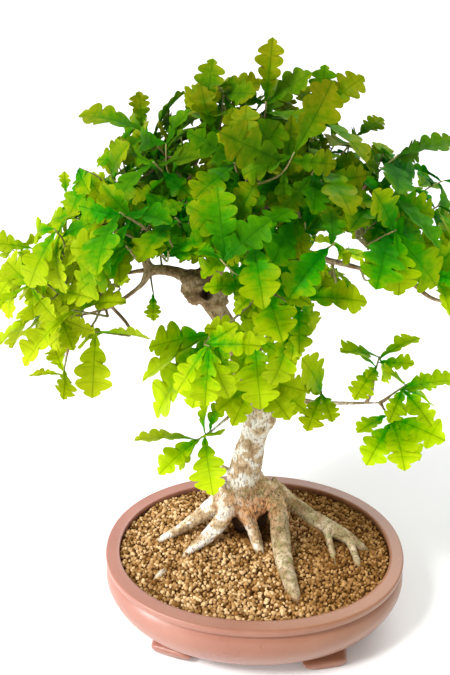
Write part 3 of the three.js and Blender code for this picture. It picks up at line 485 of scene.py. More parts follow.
class Nodes:
    """Builds a material's nodes, each made and linked in one call."""

    def __init__(self, name):
        self.material = bpy.data.materials.new(name)
        self.material.use_nodes = True
        self.tree = self.material.node_tree
        self.tree.nodes.clear()

    def add(self, kind, settings=None, **inputs):
        node = self.tree.nodes.new("ShaderNode" + kind)
        for key, value in (settings or {}).items():
            setattr(node, key, value)
        for key, value in inputs.items():
            self.feed(node, key.replace("_", " "), value)
        return node

    def feed(self, node, key, value):
        """Sets an input, by its name or by i and its number, or links it to what it gets."""
        socket = node.inputs[int(key[1:])] if key[0] == "i" and key[1:].isdigit() else node.inputs[key]
        if isinstance(value, bpy.types.NodeSocket):
            self.tree.links.new(value, socket)
        elif socket.type == "RGBA" and len(value) == 3:
            socket.default_value = (*value, 1)
        else:
            socket.default_value = value

    def attribute(self, name):
        """One value that the mesh holds for each point."""
        return self.add("Attribute", {"attribute_name": name}).outputs["Fac"]

    def attributes(self, name):
        """The three values that the mesh holds for each point."""
        vector = self.add("Attribute", {"attribute_name": name}).outputs["Vector"]
        return self.add("SeparateXYZ", Vector=vector).outputs

    def math(self, operation, a, b=0.0):
        return self.add("Math", {"operation": operation}, i0=a, i1=b).outputs[0]

    def plus(self, a, b):
        return self.math("ADD", a, b)

    def times(self, a, b):
        return self.math("MULTIPLY", a, b)

    def mix(self, share, a, b, blend="MIX"):
        settings = {"data_type": "RGBA", "blend_type": blend}
        return self.add("Mix", settings, i0=share, i6=a, i7=b).outputs[2]

    def spread(self, value, low, high, to_low=0.0, to_high=1.0):
        """Takes a value from one range to another, smoothly and held at its ends."""
        settings = {"interpolation_type": "SMOOTHSTEP"}
        node = self.add("MapRange", settings, i0=value, i1=low, i2=high, i3=to_low, i4=to_high)
        return node.outputs[0]

    def ramp(self, value, stops):
        """A colour from a value, through stops of a position and a colour."""
        node = self.add("ValToRGB", Fac=value)
        elements = node.color_ramp.elements
        while len(elements) < len(stops):
            elements.new(0.5)
        for element, (position, colour) in zip(elements, stops):
            element.position = position
            element.color = (*colour, 1)
        return node.outputs[0]

    def place(self):
        return self.add("TexCoord").outputs["Object"]

    def noise(self, scale, detail=4, rough=0.55, where=None):
        where = where or self.place()
        node = self.add("TexNoise", Vector=where, Scale=scale, Detail=detail, Roughness=rough)
        return node.outputs["Fac"]

    def moved(self, **how):
        return self.add("Mapping", Vector=self.place(), **how).outputs[0]

    def bump(self, height, distance, strength=1.0):
        return self.add("Bump", Height=height, Distance=distance, Strength=strength).outputs[0]

    def surface(self, colour, roughness, normal, **more):
        shader = self.add("BsdfPrincipled", Base_Color=colour, Roughness=roughness, Normal=normal,
                          **more)
        return shader.outputs[0]

    def finish(self, shader):
        self.add("OutputMaterial", Surface=shader)
        return self.material


def clay_material():
    """pot_painted_shade: how much darker the groove and the low places are, as painted shade. The
    clay is painted pinker and lighter at the left, where the light falls, and browner and darker at
    the right, as painted shade.
    """
    n = Nodes("unglazed_clay")
    cloud = n.noise(14, 5)
    grain = n.noise(900, 3)
    colour = n.ramp(cloud, [(0.3, (0.29, 0.13, 0.08)), (0.5, (0.38, 0.185, 0.12)),
                            (0.72, (0.47, 0.25, 0.17))])
    colour = n.mix(n.spread(grain, 0.55, 0.75, 0, 0.3), colour, (0.28, 0.14, 0.09))
    # Painted light and shade: pinker and lighter at the left, where the light falls, browner and darker
    # at the right.
    across = n.add("SeparateXYZ", Vector=n.place()).outputs[0]
    lit_pink = n.mix(0.6, colour, (0.38, 0.15, 0.13))
    brown = n.mix(0.6, colour, (0.19, 0.06, 0.005))
    colour = n.mix(n.spread(across, -0.2, 0.17), lit_pink, brown)
    # Painted shade in the groove and near the ground.
    colour = n.mix(n.times(n.attribute("pot_painted_shade"), 0.75), colour, (0.26, 0.11, 0.07))
    height = n.plus(n.times(grain, 0.4), n.noise(60, 3))
    gloss = n.spread(cloud, 0.2, 0.8, 0.24, 0.36)
    return n.finish(n.surface(colour, gloss, n.bump(height, 0.0005, 0.45)))


def grit_material():
    """grain_tone_and_shade: how light each grain is, by chance and by painted shade."""
    n = Nodes("soil_grit")
    colour = n.ramp(n.attribute("grain_tone_and_shade"), [
        (0.0, (0.04, 0.014, 0.001)), (0.3, (0.20, 0.085, 0.016)),
        (0.65, (0.48, 0.27, 0.10)), (1.0, (0.84, 0.58, 0.31))])
    speck = n.noise(1500, 3)
    colour = n.mix(n.spread(speck, 0.5, 0.72, 0, 0.55), colour, (0.17, 0.075, 0.028))
    relief = n.bump(speck, 0.0004, 0.8)
    return n.finish(n.surface(colour, 0.92, relief, Specular_IOR_Level=0.1))


def bark_material():
    """bark_zone: how brown and how mossy each place is, and the painted shade inside the burl's
    hollow. bark_patch: how white its patches are, painted whiter on the left flank where the light
    falls, how red, and how deep in the painted shade of the roots."""
    n = Nodes("oak_bark")
    browned, mossy, hollow_shade = n.attributes("bark_zone")
    white, reddish, shaded = n.attributes("bark_patch")
    cloud = n.noise(70, 6, 0.62)
    blotch = n.noise(150, 4, 0.6, n.moved(Location=(3, 1, 2)))
    fine = n.noise(420, 5, 0.65, n.moved(Scale=(1, 1, 0.45)))
    rings = n.noise(700, 3, 0.5, n.moved(Scale=(0.3, 0.3, 2.2)))
    pale = n.ramp(cloud, [(0.32, (0.34, 0.21, 0.11)), (0.44, (0.61, 0.45, 0.27)),
                          (0.6, (0.86, 0.74, 0.55))])
    brown = n.ramp(cloud, [(0.3, (0.10, 0.05, 0.022)), (0.5, (0.33, 0.20, 0.10)),
                           (0.72, (0.60, 0.43, 0.26))])
    green = n.ramp(fine, [(0.35, (0.10, 0.11, 0.02)), (0.65, (0.30, 0.30, 0.10))])
    red = n.ramp(fine, [(0.33, (0.36, 0.13, 0.04)), (0.62, (0.95, 0.52, 0.25))])
    colour = n.mix(browned, pale, brown)
    colour = n.mix(n.times(reddish, n.spread(blotch, 0.32, 0.48)), colour, red)
    colour = n.mix(n.times(mossy, n.spread(blotch, 0.58, 0.44)), colour, green)
    # Pale bark patches, and painted light: whiter on the left flank, where the light falls.
    colour = n.mix(n.times(white, n.spread(cloud, 0.46, 0.53)), colour, (0.90, 0.86, 0.79))
    cracks = n.spread(fine, 0.36, 0.5, 1, 0)
    colour = n.mix(n.times(cracks, 0.7), colour, (0.12, 0.06, 0.03))
    colour = n.mix(n.times(n.spread(rings, 0.56, 0.7), 0.35), colour, (0.28, 0.17, 0.10))
    # Painted shade: near black inside the burl's hollow.
    colour = n.mix(hollow_shade, colour, (0.04, 0.02, 0.01))
    colour = n.mix(shaded, colour, (0.035, 0.018, 0.008))
    relief = n.bump(n.plus(fine, n.times(rings, 0.4)), 0.0018)
    return n.finish(n.surface(colour, 0.85, relief, Specular_IOR_Level=0.12))


def leaf_material():
    """leaf_vein: lobes from the base, millimetres from the midrib, share of the way to the
    edge. leaf_tone_and_light: painted light and shade, from shaded to sunlit green, how bronzed,
    and a painted lightness."""
    n = Nodes("oak_leaf")
    lobe, off_midrib, out = n.attributes("leaf_vein")
    sunlit, bronzed, light = n.attributes("leaf_tone_and_light")
    off_side_vein = n.math("ABSOLUTE", n.math("SUBTRACT", n.math("FRACT", lobe), 0.5))
    side = n.spread(off_side_vein, 0.012, 0.045, 1, 0)
    rib = n.spread(off_midrib, 0.3, 0.75, 1, 0)
    veins = n.math("MAXIMUM", rib, n.times(side, 0.5))
    outwards = n.plus(n.times(lobe, 0.17), n.times(out, 0.3))
    tips = n.spread(outwards, 0.1, 1.0, -0.34, 0.2)
    mottle = n.noise(160, 4)
    sunlit = n.plus(sunlit, n.plus(tips, n.spread(mottle, 0.3, 0.7, -0.08, 0.08)))
    # Painted light and shade: shaded and sunlit copies of the leaf's green.
    green = n.ramp(sunlit, [(0.0, (0.0, 0.20, 0.0)), (0.3, (0.04, 0.35, 0.0)),
                            (0.6, (0.32, 0.47, 0.0)), (1.0, (0.47, 0.57, 0.01))])
    bronze = n.ramp(mottle, [(0.35, (0.27, 0.34, 0.0)), (0.65, (0.44, 0.40, 0.01))])
    colour = n.mix(n.times(bronzed, n.spread(outwards, 0.1, 0.9, 0.35, 1)), green, bronze)
    # Painted light and shade: each leaf lighter or darker by its place in the crown.
    colour = n.mix(1.0, colour, light, "MULTIPLY")
    colour = n.mix(n.times(veins, 0.32), colour, (0.02, 0.15, 0.0))
    glow = n.mix(1.0, colour, (1.4, 1.25, 0.2), "MULTIPLY")
    height = n.math("SUBTRACT", n.times(n.noise(700, 3), 0.35), veins)
    normal = n.bump(height, 0.0005, 0.6)
    face = n.surface(colour, 0.42, normal, IOR=1.12)
    through = n.add("BsdfTranslucent", Color=glow, Normal=normal).outputs[0]
    return n.finish(n.add("MixShader", i0=0.45, i1=face, i2=through).outputs[0])


def stem_material():
    n = Nodes("green_stem")
    colour = n.ramp(n.noise(200, 4), [(0.35, (0.13, 0.15, 0.02)), (0.6, (0.28, 0.24, 0.07)),
                                      (0.8, (0.32, 0.20, 0.09))])
    return n.finish(n.surface(colour, 0.55, n.bump(n.noise(900, 3), 0.0004, 0.5)))


def net_material():
    n = Nodes("net_plastic")
    colour = n.ramp(n.noise(300, 3), [(0.3, (0.02, 0.02, 0.02)), (0.7, (0.045, 0.05, 0.05))])
    return n.finish(n.surface(colour, 0.6, n.bump(n.noise(1200, 2), 0.0002, 0.4)))


def floor_material():
    n = Nodes("pale_floor")
    colour = n.ramp(n.noise(3, 2), [(0.3, (0.90, 0.90, 0.90)), (0.7, (0.93, 0.93, 0.93))])
    return n.finish(n.add("BsdfPrincipled", Base_Color=colour, Roughness=0.9).outputs[0])


# Pot


def oval(angle, inward):
    c = np.abs(np.cos(angle)) ** POT_SQUARENESS
    s = np.abs(np.sin(angle)) ** POT_SQUARENESS
    reach = (c + s) ** (-1 / POT_SQUARENESS)
    x = (POT_HALF_LENGTH - inward) * reach * np.cos(angle)
    y = (POT_HALF_WIDTH - inward) * reach * np.sin(angle)
    return x, y


def pot_body():
    """The pot without its feet, from the middle of the underside to the middle of the floor."""
    angles = 2 * np.pi * np.arange(POT_SIDES) / POT_SIDES
    points = []
    for inward, z in POT_PROFILE:
        x, y = oval(angles, inward)
        points.append(np.column_stack([x, y, np.full(POT_SIDES, float(z))]))
    return np.vstack(points), skin(len(POT_PROFILE), POT_SIDES)


def foot_body(side, front):
    """One foot: its rounded outline, drawn through its depth and rounded at the front."""
    outline = smooth_outline([(side * (FOOT_X + a), z) for a, z in FOOT_OUTLINE])
    if side > 0:
        outline = outline[::-1]
    face = -FOOT_Y - FOOT_DEPTH / 2 + FOOT_FRONT_SET
    middle = side * FOOT_MIDDLE
    points = []
    for depth, width in FOOT_SLICES:
        for x, z in outline:
            near = face + FOOT_SPLAY * (abs(x) - FOOT_X) - FOOT_BATTER * z
            far = -FOOT_Y + FOOT_DEPTH / 2
            y = near + (far - near) * depth
            points.append((middle + (x - middle) * width, y, z * width))
    turn = FOOT_TWIST + (0 if front > 0 else math.pi)
    points = np.array(points) @ np.array(Matrix.Rotation(turn, 3, "Z")).T
    return points, [face[::-1] for face in skin(len(FOOT_SLICES), len(outline))]


def smooth_outline(corners, steps=5, share=0.3, flat=0.01):
    """Rounds an outline's corners over a share of its sides, and leaves what lies on the ground
    flat."""
    out = []
    count = len(corners)
    for i in range(count):
        before, here, after = (np.array(corners[(i + k) % count], float) for k in (-1, 0, 1))
        start = here + share * (before - here)
        end = here + share * (after - here)
        for t in np.linspace(0, 1, steps):
            out.append((1 - t) ** 2 * start + 2 * t * (1 - t) * here + t**2 * end)
    return [(x, 0.0 if z < flat else z) for x, z in out]


def joined_by(target, others, operation):
    """Joins other meshes to the target or cuts them from it, and deletes them."""
    for other in others:
        step = target.modifiers.new("step", "BOOLEAN")
        step.operation = operation
        step.solver = "EXACT"
        step.object = other
    applied(target)
    for other in others:
        bpy.data.objects.remove(other)


def applied(obj):
    """Bakes the object's modifiers into its mesh."""
    bpy.context.view_layer.update()
    graph = bpy.context.evaluated_depsgraph_get()
    mesh = bpy.data.meshes.new_from_object(obj.evaluated_get(graph))
    obj.modifiers.clear()
    old = obj.data
    obj.data = mesh
    bpy.data.meshes.remove(old)


def drain_hole(x):
    rows = [(x, 0, -1, DRAIN_HOLE_RADIUS), (x, 0, FLOOR_HEIGHT + 1, DRAIN_HOLE_RADIUS)]
    return loose_object("hole", *tube(rows, 40))


def make_pot(material):
    pot = piece("clay_pot", *pot_body(), "pot_clay", material)
    feet = [loose_object("foot", *foot_body(side, front)) for side in (-1, 1) for front in (-1, 1)]
    joined_by(pot, feet, "UNION")
    joined_by(pot, [drain_hole(x) for x in (-DRAIN_HOLE_X, DRAIN_HOLE_X)], "DIFFERENCE")
    bevel = pot.modifiers.new("worn edges", "BEVEL")
    bevel.width = WORN_EDGE * MM
    bevel.segments = 2
    bevel.limit_method = "ANGLE"
    bevel.angle_limit = math.radians(65)
    applied(pot)
    smooth(pot.data)
    give(pot.data, "pot_painted_shade", pot_shade(mesh_points(pot.data)), "FLOAT")
    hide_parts("pot")


def pot_shade(points):
    """How much painted shade each point of the pot gets: in its groove, and a little near the ground.
    """
    x, y, z = points.T
    edge = np.hypot(*oval(np.arctan2(y / POT_HALF_WIDTH, x / POT_HALF_LENGTH), 0))
    outside = edge - np.hypot(x, y) < RIM_WIDTH / 2
    groove = np.clip(1 - np.abs(z - GROOVE_HEIGHT) / GROOVE_REACH, 0, 1) * outside
    return np.maximum(groove, 0.3 * fall(z, FLOOR_HEIGHT, 12))


# Soil

# Inward from the rim's edge and height of the soil's side, then inward of its top
SOIL_SIDE = [(38, FLOOR_HEIGHT), (17, 42), (13, 74)]
SOIL_TOP_RINGS = (15.2, 22, 32, 46, 62, 80, 98, 114)
SOIL_SIDES = 96
SOIL_UNDER_GRAINS = 2.6
SOIL_RELIEF = 0.7
BED_SHADE_TONE = 0.06
GRAIN_PITCH = 3.9
GRAIN_STRAY = 1.3
GRAIN_SIZE = (1.6, 2.8)
GRAIN_SINK = 0.75
GRAIN_LIFT = (-1.7, 1.1)
GRAIN_STRETCH = (0.75, 1.2)
GRAIN_BUMPS = (0.85, 1.12)
GRAIN_IN_WALL = 1.6
GRAIN_IN_WOOD = 1.5
GRAIN_COLUMNS = 90
GRAIN_ROWS = 76
GRAIN_TONE = (0.66, 0.25)
SOIL_SEED = 77
GRAIN_SEED = 78


def soil_top(x, y):
    """Height of the soil: level by the wall, with a low mound towards the middle."""
    angle = np.arctan2(y / POT_HALF_WIDTH, x / POT_HALF_LENGTH)
    reach = np.hypot(*oval(angle, RIM_WIDTH))
    inside = reach - np.hypot(x, y)
    return SOIL_HEIGHT + SOIL_MOUND * np.clip(inside / SOIL_MOUND_WIDTH, 0, 1), inside


def make_soil_bed(material):
    """The soil between and under the grains, near black as the painted shade in the gaps between them,
    which fills the pot down to its floor.
    """
    angles = 2 * np.pi * np.arange(SOIL_SIDES) / SOIL_SIDES
    random = np.random.default_rng(SOIL_SEED)
    points = []
    for inward, z in SOIL_SIDE:
        x, y = oval(angles, inward + SEAT_GAP)
        points.append(np.column_stack([x, y, np.full(len(x), z + SEAT_GAP)]))
    for inward in SOIL_TOP_RINGS:
        x, y = oval(angles, inward)
        relief = random.uniform(-SOIL_RELIEF, SOIL_RELIEF, len(x))
        points.append(np.column_stack([x, y, soil_top(x, y)[0] - SOIL_UNDER_GRAINS + relief]))
    faces = skin(len(points), SOIL_SIDES)
    bed = piece("soil_bed", np.vstack(points), faces, "soil_grit", material)
    cutters = [loose_object("net space", *net_space(x)) for x in (-DRAIN_HOLE_X, DRAIN_HOLE_X)]
    joined_by(bed, cutters, "DIFFERENCE")
    # Painted shade: the bed is near black where it shows between the grains.
    give(bed.data, "grain_tone_and_shade", np.full(len(bed.data.vertices), BED_SHADE_TONE), "FLOAT")


def net_space(x):
    """A box of room in the soil for a drain net."""
    low, high = FLOOR_HEIGHT - 1, FLOOR_HEIGHT + 2
    corners = [(x + a * NET_SPACE, b * NET_SPACE, z) for z in (low, high)
               for a, b in ((-1, -1), (1, -1), (1, 1), (-1, 1))]
    return np.array(corners), skin(2, 4)


def grain_shape():
    """A rounded lump: a cube divided once and pulled towards a ball."""
    grid = np.array([-1.0, 0.0, 1.0])
    points = {}
    faces = []
    for axis in range(3):
        for sign in (-1, 1):
            for i in range(2):
                for j in range(2):
                    corners = []
                    for u, v in ((i, j), (i + 1, j), (i + 1, j + 1), (i, j + 1)):
                        point = [0, 0, 0]
                        point[axis] = sign
                        point[(axis + 1) % 3] = grid[u]
                        point[(axis + 2) % 3] = grid[v]
                        corners.append(points.setdefault(tuple(point), len(points)))
                    faces.append(tuple(corners if sign > 0 else corners[::-1]))
    shape = np.array(list(points), float)
    length = np.linalg.norm(shape, axis=1, keepdims=True)
    return shape / length ** 0.72, np.array(faces)


def distance_to_limbs(points, limbs):
    """How far points lie outside the nearest of some limbs, less than 0 inside."""
    best = np.full(len(points), np.inf)
    for rows in limbs:
        rows = np.asarray(rows, float)
        for a, b in zip(rows[:-1], rows[1:]):
            along = b[:3] - a[:3]
            share = np.clip((points - a[:3]) @ along / (along @ along), 0, 1)
            near = a[:3] + share[:, None] * along
            radius = a[3] + (b[3] - a[3]) * share
            best = np.minimum(best, np.linalg.norm(points - near, axis=1) - radius)
    return best


def random_turns(random, count):
    """Rotation matrices of random turns."""
    axes = random.normal(size=(count, 4))
    axes /= np.linalg.norm(axes, axis=1, keepdims=True)
    w, x, y, z = axes.T
    return np.array([
        [1 - 2 * (y * y + z * z), 2 * (x * y - z * w), 2 * (x * z + y * w)],
        [2 * (x * y + z * w), 1 - 2 * (x * x + z * z), 2 * (y * z - x * w)],
        [2 * (x * z - y * w), 2 * (y * z + x * w), 1 - 2 * (x * x + y * y)],
    ]).transpose(2, 0, 1)


def grain_places(random):
    """Middle, size and distance from the wood of each grain, on an uneven honeycomb."""
    row_step = GRAIN_PITCH * math.sqrt(3) / 2
    centres = [
        (GRAIN_PITCH * (i + 0.5 * (j % 2)), row_step * j)
        for j in range(-GRAIN_ROWS, GRAIN_ROWS + 1)
        for i in range(-GRAIN_COLUMNS, GRAIN_COLUMNS + 1)
    ]
    centres = np.array(centres) + random.uniform(-GRAIN_STRAY, GRAIN_STRAY, (len(centres), 2))
    top, inside = soil_top(centres[:, 0], centres[:, 1])
    size = random.uniform(*GRAIN_SIZE, len(centres)) * random.choice([1, 1, 1, 0.7], len(centres))
    z = top - size * GRAIN_SINK + random.uniform(*GRAIN_LIFT, len(centres))
    where = np.column_stack([centres, z])
    away = distance_to_limbs(where, [TRUNK, *ROOTS])
    keep = (inside > size - GRAIN_IN_WALL) & (away > -GRAIN_IN_WOOD)
    return where[keep], size[keep], away[keep]


def make_grains(material):
    random = np.random.default_rng(GRAIN_SEED)
    where, size, away = grain_places(random)
    shape, faces = grain_shape()
    count = len(where)
    turn = random_turns(random, count)
    stretch = random.uniform(*GRAIN_STRETCH, (count, 1, 3))
    lumps = shape[None] * stretch * random.uniform(*GRAIN_BUMPS, (count, len(shape), 1))
    points = np.einsum("nij,nkj->nki", turn, lumps) * size[:, None, None] + where[:, None]
    all_faces = (faces[None] + (np.arange(count) * len(shape))[:, None, None]).reshape(-1, 4)
    grains = piece("soil_grains", points.reshape(-1, 3), all_faces.tolist(), "soil_grit", material)
    tone = np.clip(random.normal(*GRAIN_TONE, count), 0.05, 1)
    # Painted shade: grains are darker under the root crown, towards the right, and next to the trunk
    # and roots.
    under = np.hypot(*((where[:, :2] - CROWN_SHADE) / CROWN_SHADE_SIZE).T)
    tone *= np.clip(under * 1.6 - 0.75, 0.05, 1)
    tone *= 1 - 0.36 * rise(where[:, 0], 20, 60)
    tone *= 0.6 + 0.4 * rise(away, 0, 7)
    give(grains.data, "grain_tone_and_shade", np.repeat(tone, len(shape)), "FLOAT")
    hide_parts("soil")


# Where the leafy stems grow


def lay_shoots():
    """Stems and the branchlets that carry them, by the same rule as in the solids."""
    carriers = [np.array(rows, float)[1:] for rows in BRANCHES]
    carriers.append(np.array(TRUNK, float)[TRUNK_CARRIES])
    shoots, branchlets = [], []
    for index, (x, y, z, loose, *tips) in enumerate(SHOOTS):
        hub = np.array([x, y, z], float)
        outward = unit((hub - CROWN_MIDDLE) * (1, 1, 0.5))
        low = z < LOW_SHOOT_HEIGHT
        length = LOW_SHOOT_LENGTH if low else SHOOT_LENGTH
        straight_on = hub - growing_place(hub, carriers)[1]
        lean = unit(straight_on if low else outward + UP * SHOOT_LIFT)
        root = hub - lean * length
        rows = branchlet_to(root, lean, carriers)
        branchlets.append(rows)
        carriers.append(rows)
        shoots.append({
            "index": index, "hub": hub, "lean": lean, "length": length, "outward": outward,
            "root": root, "loose": loose, "tips": [np.array(tip[:3], float) for tip in tips],
            "rolls": [tip[3] if len(tip) > 3 else 0 for tip in tips],
        })
    return shoots, branchlets


def growing_place(point, carriers):
    """Where on a branch or branchlet a new one grows from, to reach a point."""
    best = None
    for rows in carriers:
        for first, second in zip(rows[:-1], rows[1:]):
            along = second[:3] - first[:3]
            for share in CARRIER_SHARES:
                spot = first[:3] + along * share
                reach = point - spot
                length = math.sqrt(reach @ reach)
                turn = 1 - reach @ along / (length * math.sqrt(along @ along) + 1e-9)
                cost = length * (1 + BACKWARD_COST * turn)
                if best is None or cost < best[0] - 1e-6:
                    radius = first[3] + (second[3] - first[3]) * share
                    best = (cost, spot, length, radius, unit(along))
    return best


def branchlet_to(root, lean, carriers, thickest=BRANCHLET_RADIUS, thinnest=SHOOT_RADIUS):
    """A branchlet that leaves its branch slanting and ends along the stem that it carries."""
    _, spot, length, radius, along = growing_place(root, carriers)
    second = spot + along * (BRANCHLET_SET_OFF * length)
    third = root - lean * (BRANCHLET_BEND * length)
    thick = min(thickest, radius * BRANCHLET_TAPER)
    rows = []
    for t in BRANCHLET_STATIONS:
        point = ((1 - t) ** 3 * spot + 3 * (1 - t) ** 2 * t * second
                 + 3 * (1 - t) * t**2 * third + t**3 * root)
        rows.append([*point, thick + (thinnest - thick) * t])
    return np.array(rows)


# Placing leaves


def leaf_pattern(edge):
    """Stations round a leaf and on its midrib, with their triangles and lines."""
    mirrored = [(along, -half) for along, half in reversed(edge)]
    stations = np.array([(0, 0), *edge, (1, 0), *mirrored, (LEAF_RIB, 0)], float)
    count = len(stations) - 1
    fan = [(i, (i + 1) % count, count) for i in range(count)]
    lines = sorted({tuple(sorted((f[i], f[(i + 1) % 3]))) for f in fan for i in range(3)})
    return stations, np.array(fan), np.array(lines)


SOLID_PATTERN = leaf_pattern(LEAF_EDGE)
BROAD_PATTERN = leaf_pattern(BROAD_EDGE)


def leaf_face(leaf, along):
    """The direction that a leaf faces in, at each share of the way along it."""
    turn = leaf["bend"] * np.asarray(along, float)
    return np.multiply.outer(np.cos(turn), leaf["face"]) + np.multiply.outer(np.sin(turn), leaf["rib"])


def leaf_points(leaf, along, across, lift=0.0):
    """Points of a leaf's surface, raised from it by lift."""
    along, across = np.asarray(along, float), np.asarray(across, float)
    turn = leaf["bend"] * along
    length, bend, fold = leaf["length"], leaf["bend"], leaf["fold"]
    run = length * np.sin(turn) / bend
    drop = -length * (1 - np.cos(turn)) / bend
    raised = np.abs(across) * length * math.sin(fold) + lift
    return (
        leaf["base"]
        + np.multiply.outer(run, leaf["rib"])
        + np.multiply.outer(drop, leaf["face"])
        + np.multiply.outer(across * length * math.cos(fold), leaf["side"])
        + leaf_face(leaf, along) * raised[..., None]
    )


def leaf_trace(leaf, pattern=SOLID_PATTERN):
    """The lines and triangles by which leaves are kept apart."""
    stations, fan, edges = pattern
    points = leaf_points(leaf, stations[:, 0], stations[:, 1] * leaf.get("width", 1))
    spike = leaf_face(leaf, stations[:, 0]) * CLEARANCE
    lines = np.concatenate([points[edges], np.stack([points - spike, points + spike], 1)])
    outer = leaf["length"] * LEAF_BASE_SHARE
    return {
        "points": points,
        "lines": lines,
        "triangles": points[fan],
        "clear_lines": np.linalg.norm(lines[:, 0] - leaf["base"], axis=1) > outer,
        "clear_triangles": ~(fan == 0).any(1),
        "middle": leaf_points(leaf, 0.5, 0.0),
        "reach": leaf["length"] * LEAF_REACH,
        "shoot": leaf["shoot"],
    }


def lines_cross(lines, triangles):
    """Does any of the lines cross any of the triangles?"""
    if not len(lines) or not len(triangles):
        return False
    p, along = lines[:, None, 0], (lines[:, 1] - lines[:, 0])[:, None]
    a = triangles[None, :, 0]
    ab, ac = triangles[None, :, 1] - a, triangles[None, :, 2] - a
    h = np.cross(along, ac)
    scale = (ab * h).sum(-1)
    flat = np.abs(scale) < 1e-9
    scale = np.where(flat, 1.0, scale)
    s = p - a
    u = (s * h).sum(-1) / scale
    w = np.cross(s, ab)
    v = (along * w).sum(-1) / scale
    t = (ac * w).sum(-1) / scale
    return bool((~flat & (u >= 0) & (v >= 0) & (u + v <= 1) & (t >= 0) & (t <= 1)).any())


def limb_lines(start, end, radius):
    """Lines along the middle of a stretch of limb and along its four sides."""
    across = square_to(unit(end - start))
    third = unit(np.cross(end - start, across))
    shifts = [np.zeros(3)]
    shifts += [side * sign * (radius + CLEARANCE) for side in (across, third) for sign in (-1, 1)]
    return np.array([[start + shift, end + shift] for shift in shifts])


class Crowd:
    """All that a new leaf must stay clear of: wood, stems and the leaves placed so far."""

    def __init__(self):
        self.traces = []
        self.middles = np.empty((0, 3))
        self.reaches = np.empty(0)
        self.wood = []

    def add_limb(self, rows, shoot=-1):
        """Adds a limb. Leaves may touch the one that carries their own shoot number."""
        rows = np.asarray(rows, float)
        for a, b in zip(rows[:-1], rows[1:]):
            radius = max(a[3], b[3])
            lines = limb_lines(a[:3], b[:3], radius)
            self.wood.append((a[:3], b[:3] - a[:3], radius, lines, shoot))

    def settle_wood(self):
        """Brings what is looked up of the limbs up to date."""
        starts, alongs, radii, self.lines, owners = zip(*self.wood)
        self.starts, self.alongs = np.array(starts), np.array(alongs)
        self.radii, self.owners = np.array(radii), np.array(owners)

    def distances(self, points, which=slice(None)):
        """How far each point is from the middle line of each limb."""
        starts, alongs = self.starts[which], self.alongs[which]
        offset = points[:, None] - starts
        share = np.clip((offset * alongs).sum(-1) / (alongs * alongs).sum(-1), 0, 1)
        return np.linalg.norm(offset - share[..., None] * alongs, axis=-1)

    def near(self, point, reach):
        """Numbers of the leaves that come within reach of a point."""
        apart = np.linalg.norm(self.middles - point, axis=1)
        return np.nonzero(apart <= self.reaches + reach)[0]

    def blocks(self, trace, skip=None):
        """Does a leaf cross another, or come too near a limb?"""
        near = self.near(trace["middle"], trace["reach"])
        others = [self.traces[i] for i in near if i != skip]
        apart = [o for o in others if o["shoot"] != trace["shoot"]]
        if apart:
            if lines_cross(trace["lines"], np.concatenate([o["triangles"] for o in apart])):
                return True
            if lines_cross(np.concatenate([o["lines"] for o in apart]), trace["triangles"]):
                return True
        for other in others:
            if other["shoot"] == trace["shoot"]:
                for one, two in ((trace, other), (other, trace)):
                    lines = one["lines"][one["clear_lines"]]
                    if lines_cross(lines, two["triangles"][two["clear_triangles"]]):
                        return True
        room = trace["reach"] + self.radii + CLEARANCE
        close = (self.distances(trace["middle"][None])[0] <= room) & (self.owners != trace["shoot"])
        close = np.nonzero(close)[0]
        if not len(close):
            return False
        lines = np.concatenate([self.lines[i] for i in close])
        if lines_cross(lines, trace["triangles"]):
            return True
        return bool((self.distances(trace["points"], close) < self.radii[close] + CLEARANCE).any())

    def limb_hits_leaf(self, rows):
        """Does a limb cross any leaf placed so far?"""
        for a, b in zip(rows[:-1], rows[1:]):
            near = self.near((a[:3] + b[:3]) / 2, np.linalg.norm(b[:3] - a[:3]) / 2 + a[3])
            if len(near):
                triangles = np.concatenate([self.traces[i]["triangles"] for i in near])
                if lines_cross(limb_lines(a[:3], b[:3], a[3]), triangles):
                    return True
        return False

    def take(self, trace):
        self.traces.append(trace)
        self.middles = np.vstack([self.middles, trace["middle"]])
        self.reaches = np.append(self.reaches, trace["reach"])


def swing(step, attempt):
    """How far a further try turns a leaf, to one side and the other by turns."""
    return step * attempt * (1 if attempt % 2 else -1)


def outline_leaf(shoot, number, attempt, random):
    """A leaf whose tip is given, as in the solids."""
    base = shoot["hub"] - shoot["lean"] * (1 + 3 * number)
    chord = shoot["tips"][number] - base
    reach = math.sqrt(chord @ chord)
    chord = chord / reach
    bend = 0.25 + 0.3 * random()
    fold = 0.12 + 0.15 * random()
    flat = -np.sign(chord[0]) * shoot["rolls"][number]
    roll = flat + 0.2 * (2 * random() - 1) + swing(0.13, attempt)
    level = unit(np.cross(VIEWER_LIGHT, chord))
    front = np.cross(chord, level)
    side = level * math.cos(roll) + front * math.sin(roll)
    upper = np.cross(chord, side)
    half = bend / 2
    rib = chord * math.cos(half) + upper * math.sin(half)
    face = upper * math.cos(half) - chord * math.sin(half)
    length = reach * half / math.sin(half) * (1 - 0.01 * attempt)
    return {"base": base, "rib": rib, "side": side, "face": face, "length": length,
            "bend": bend, "fold": fold, "shoot": shoot["index"]}


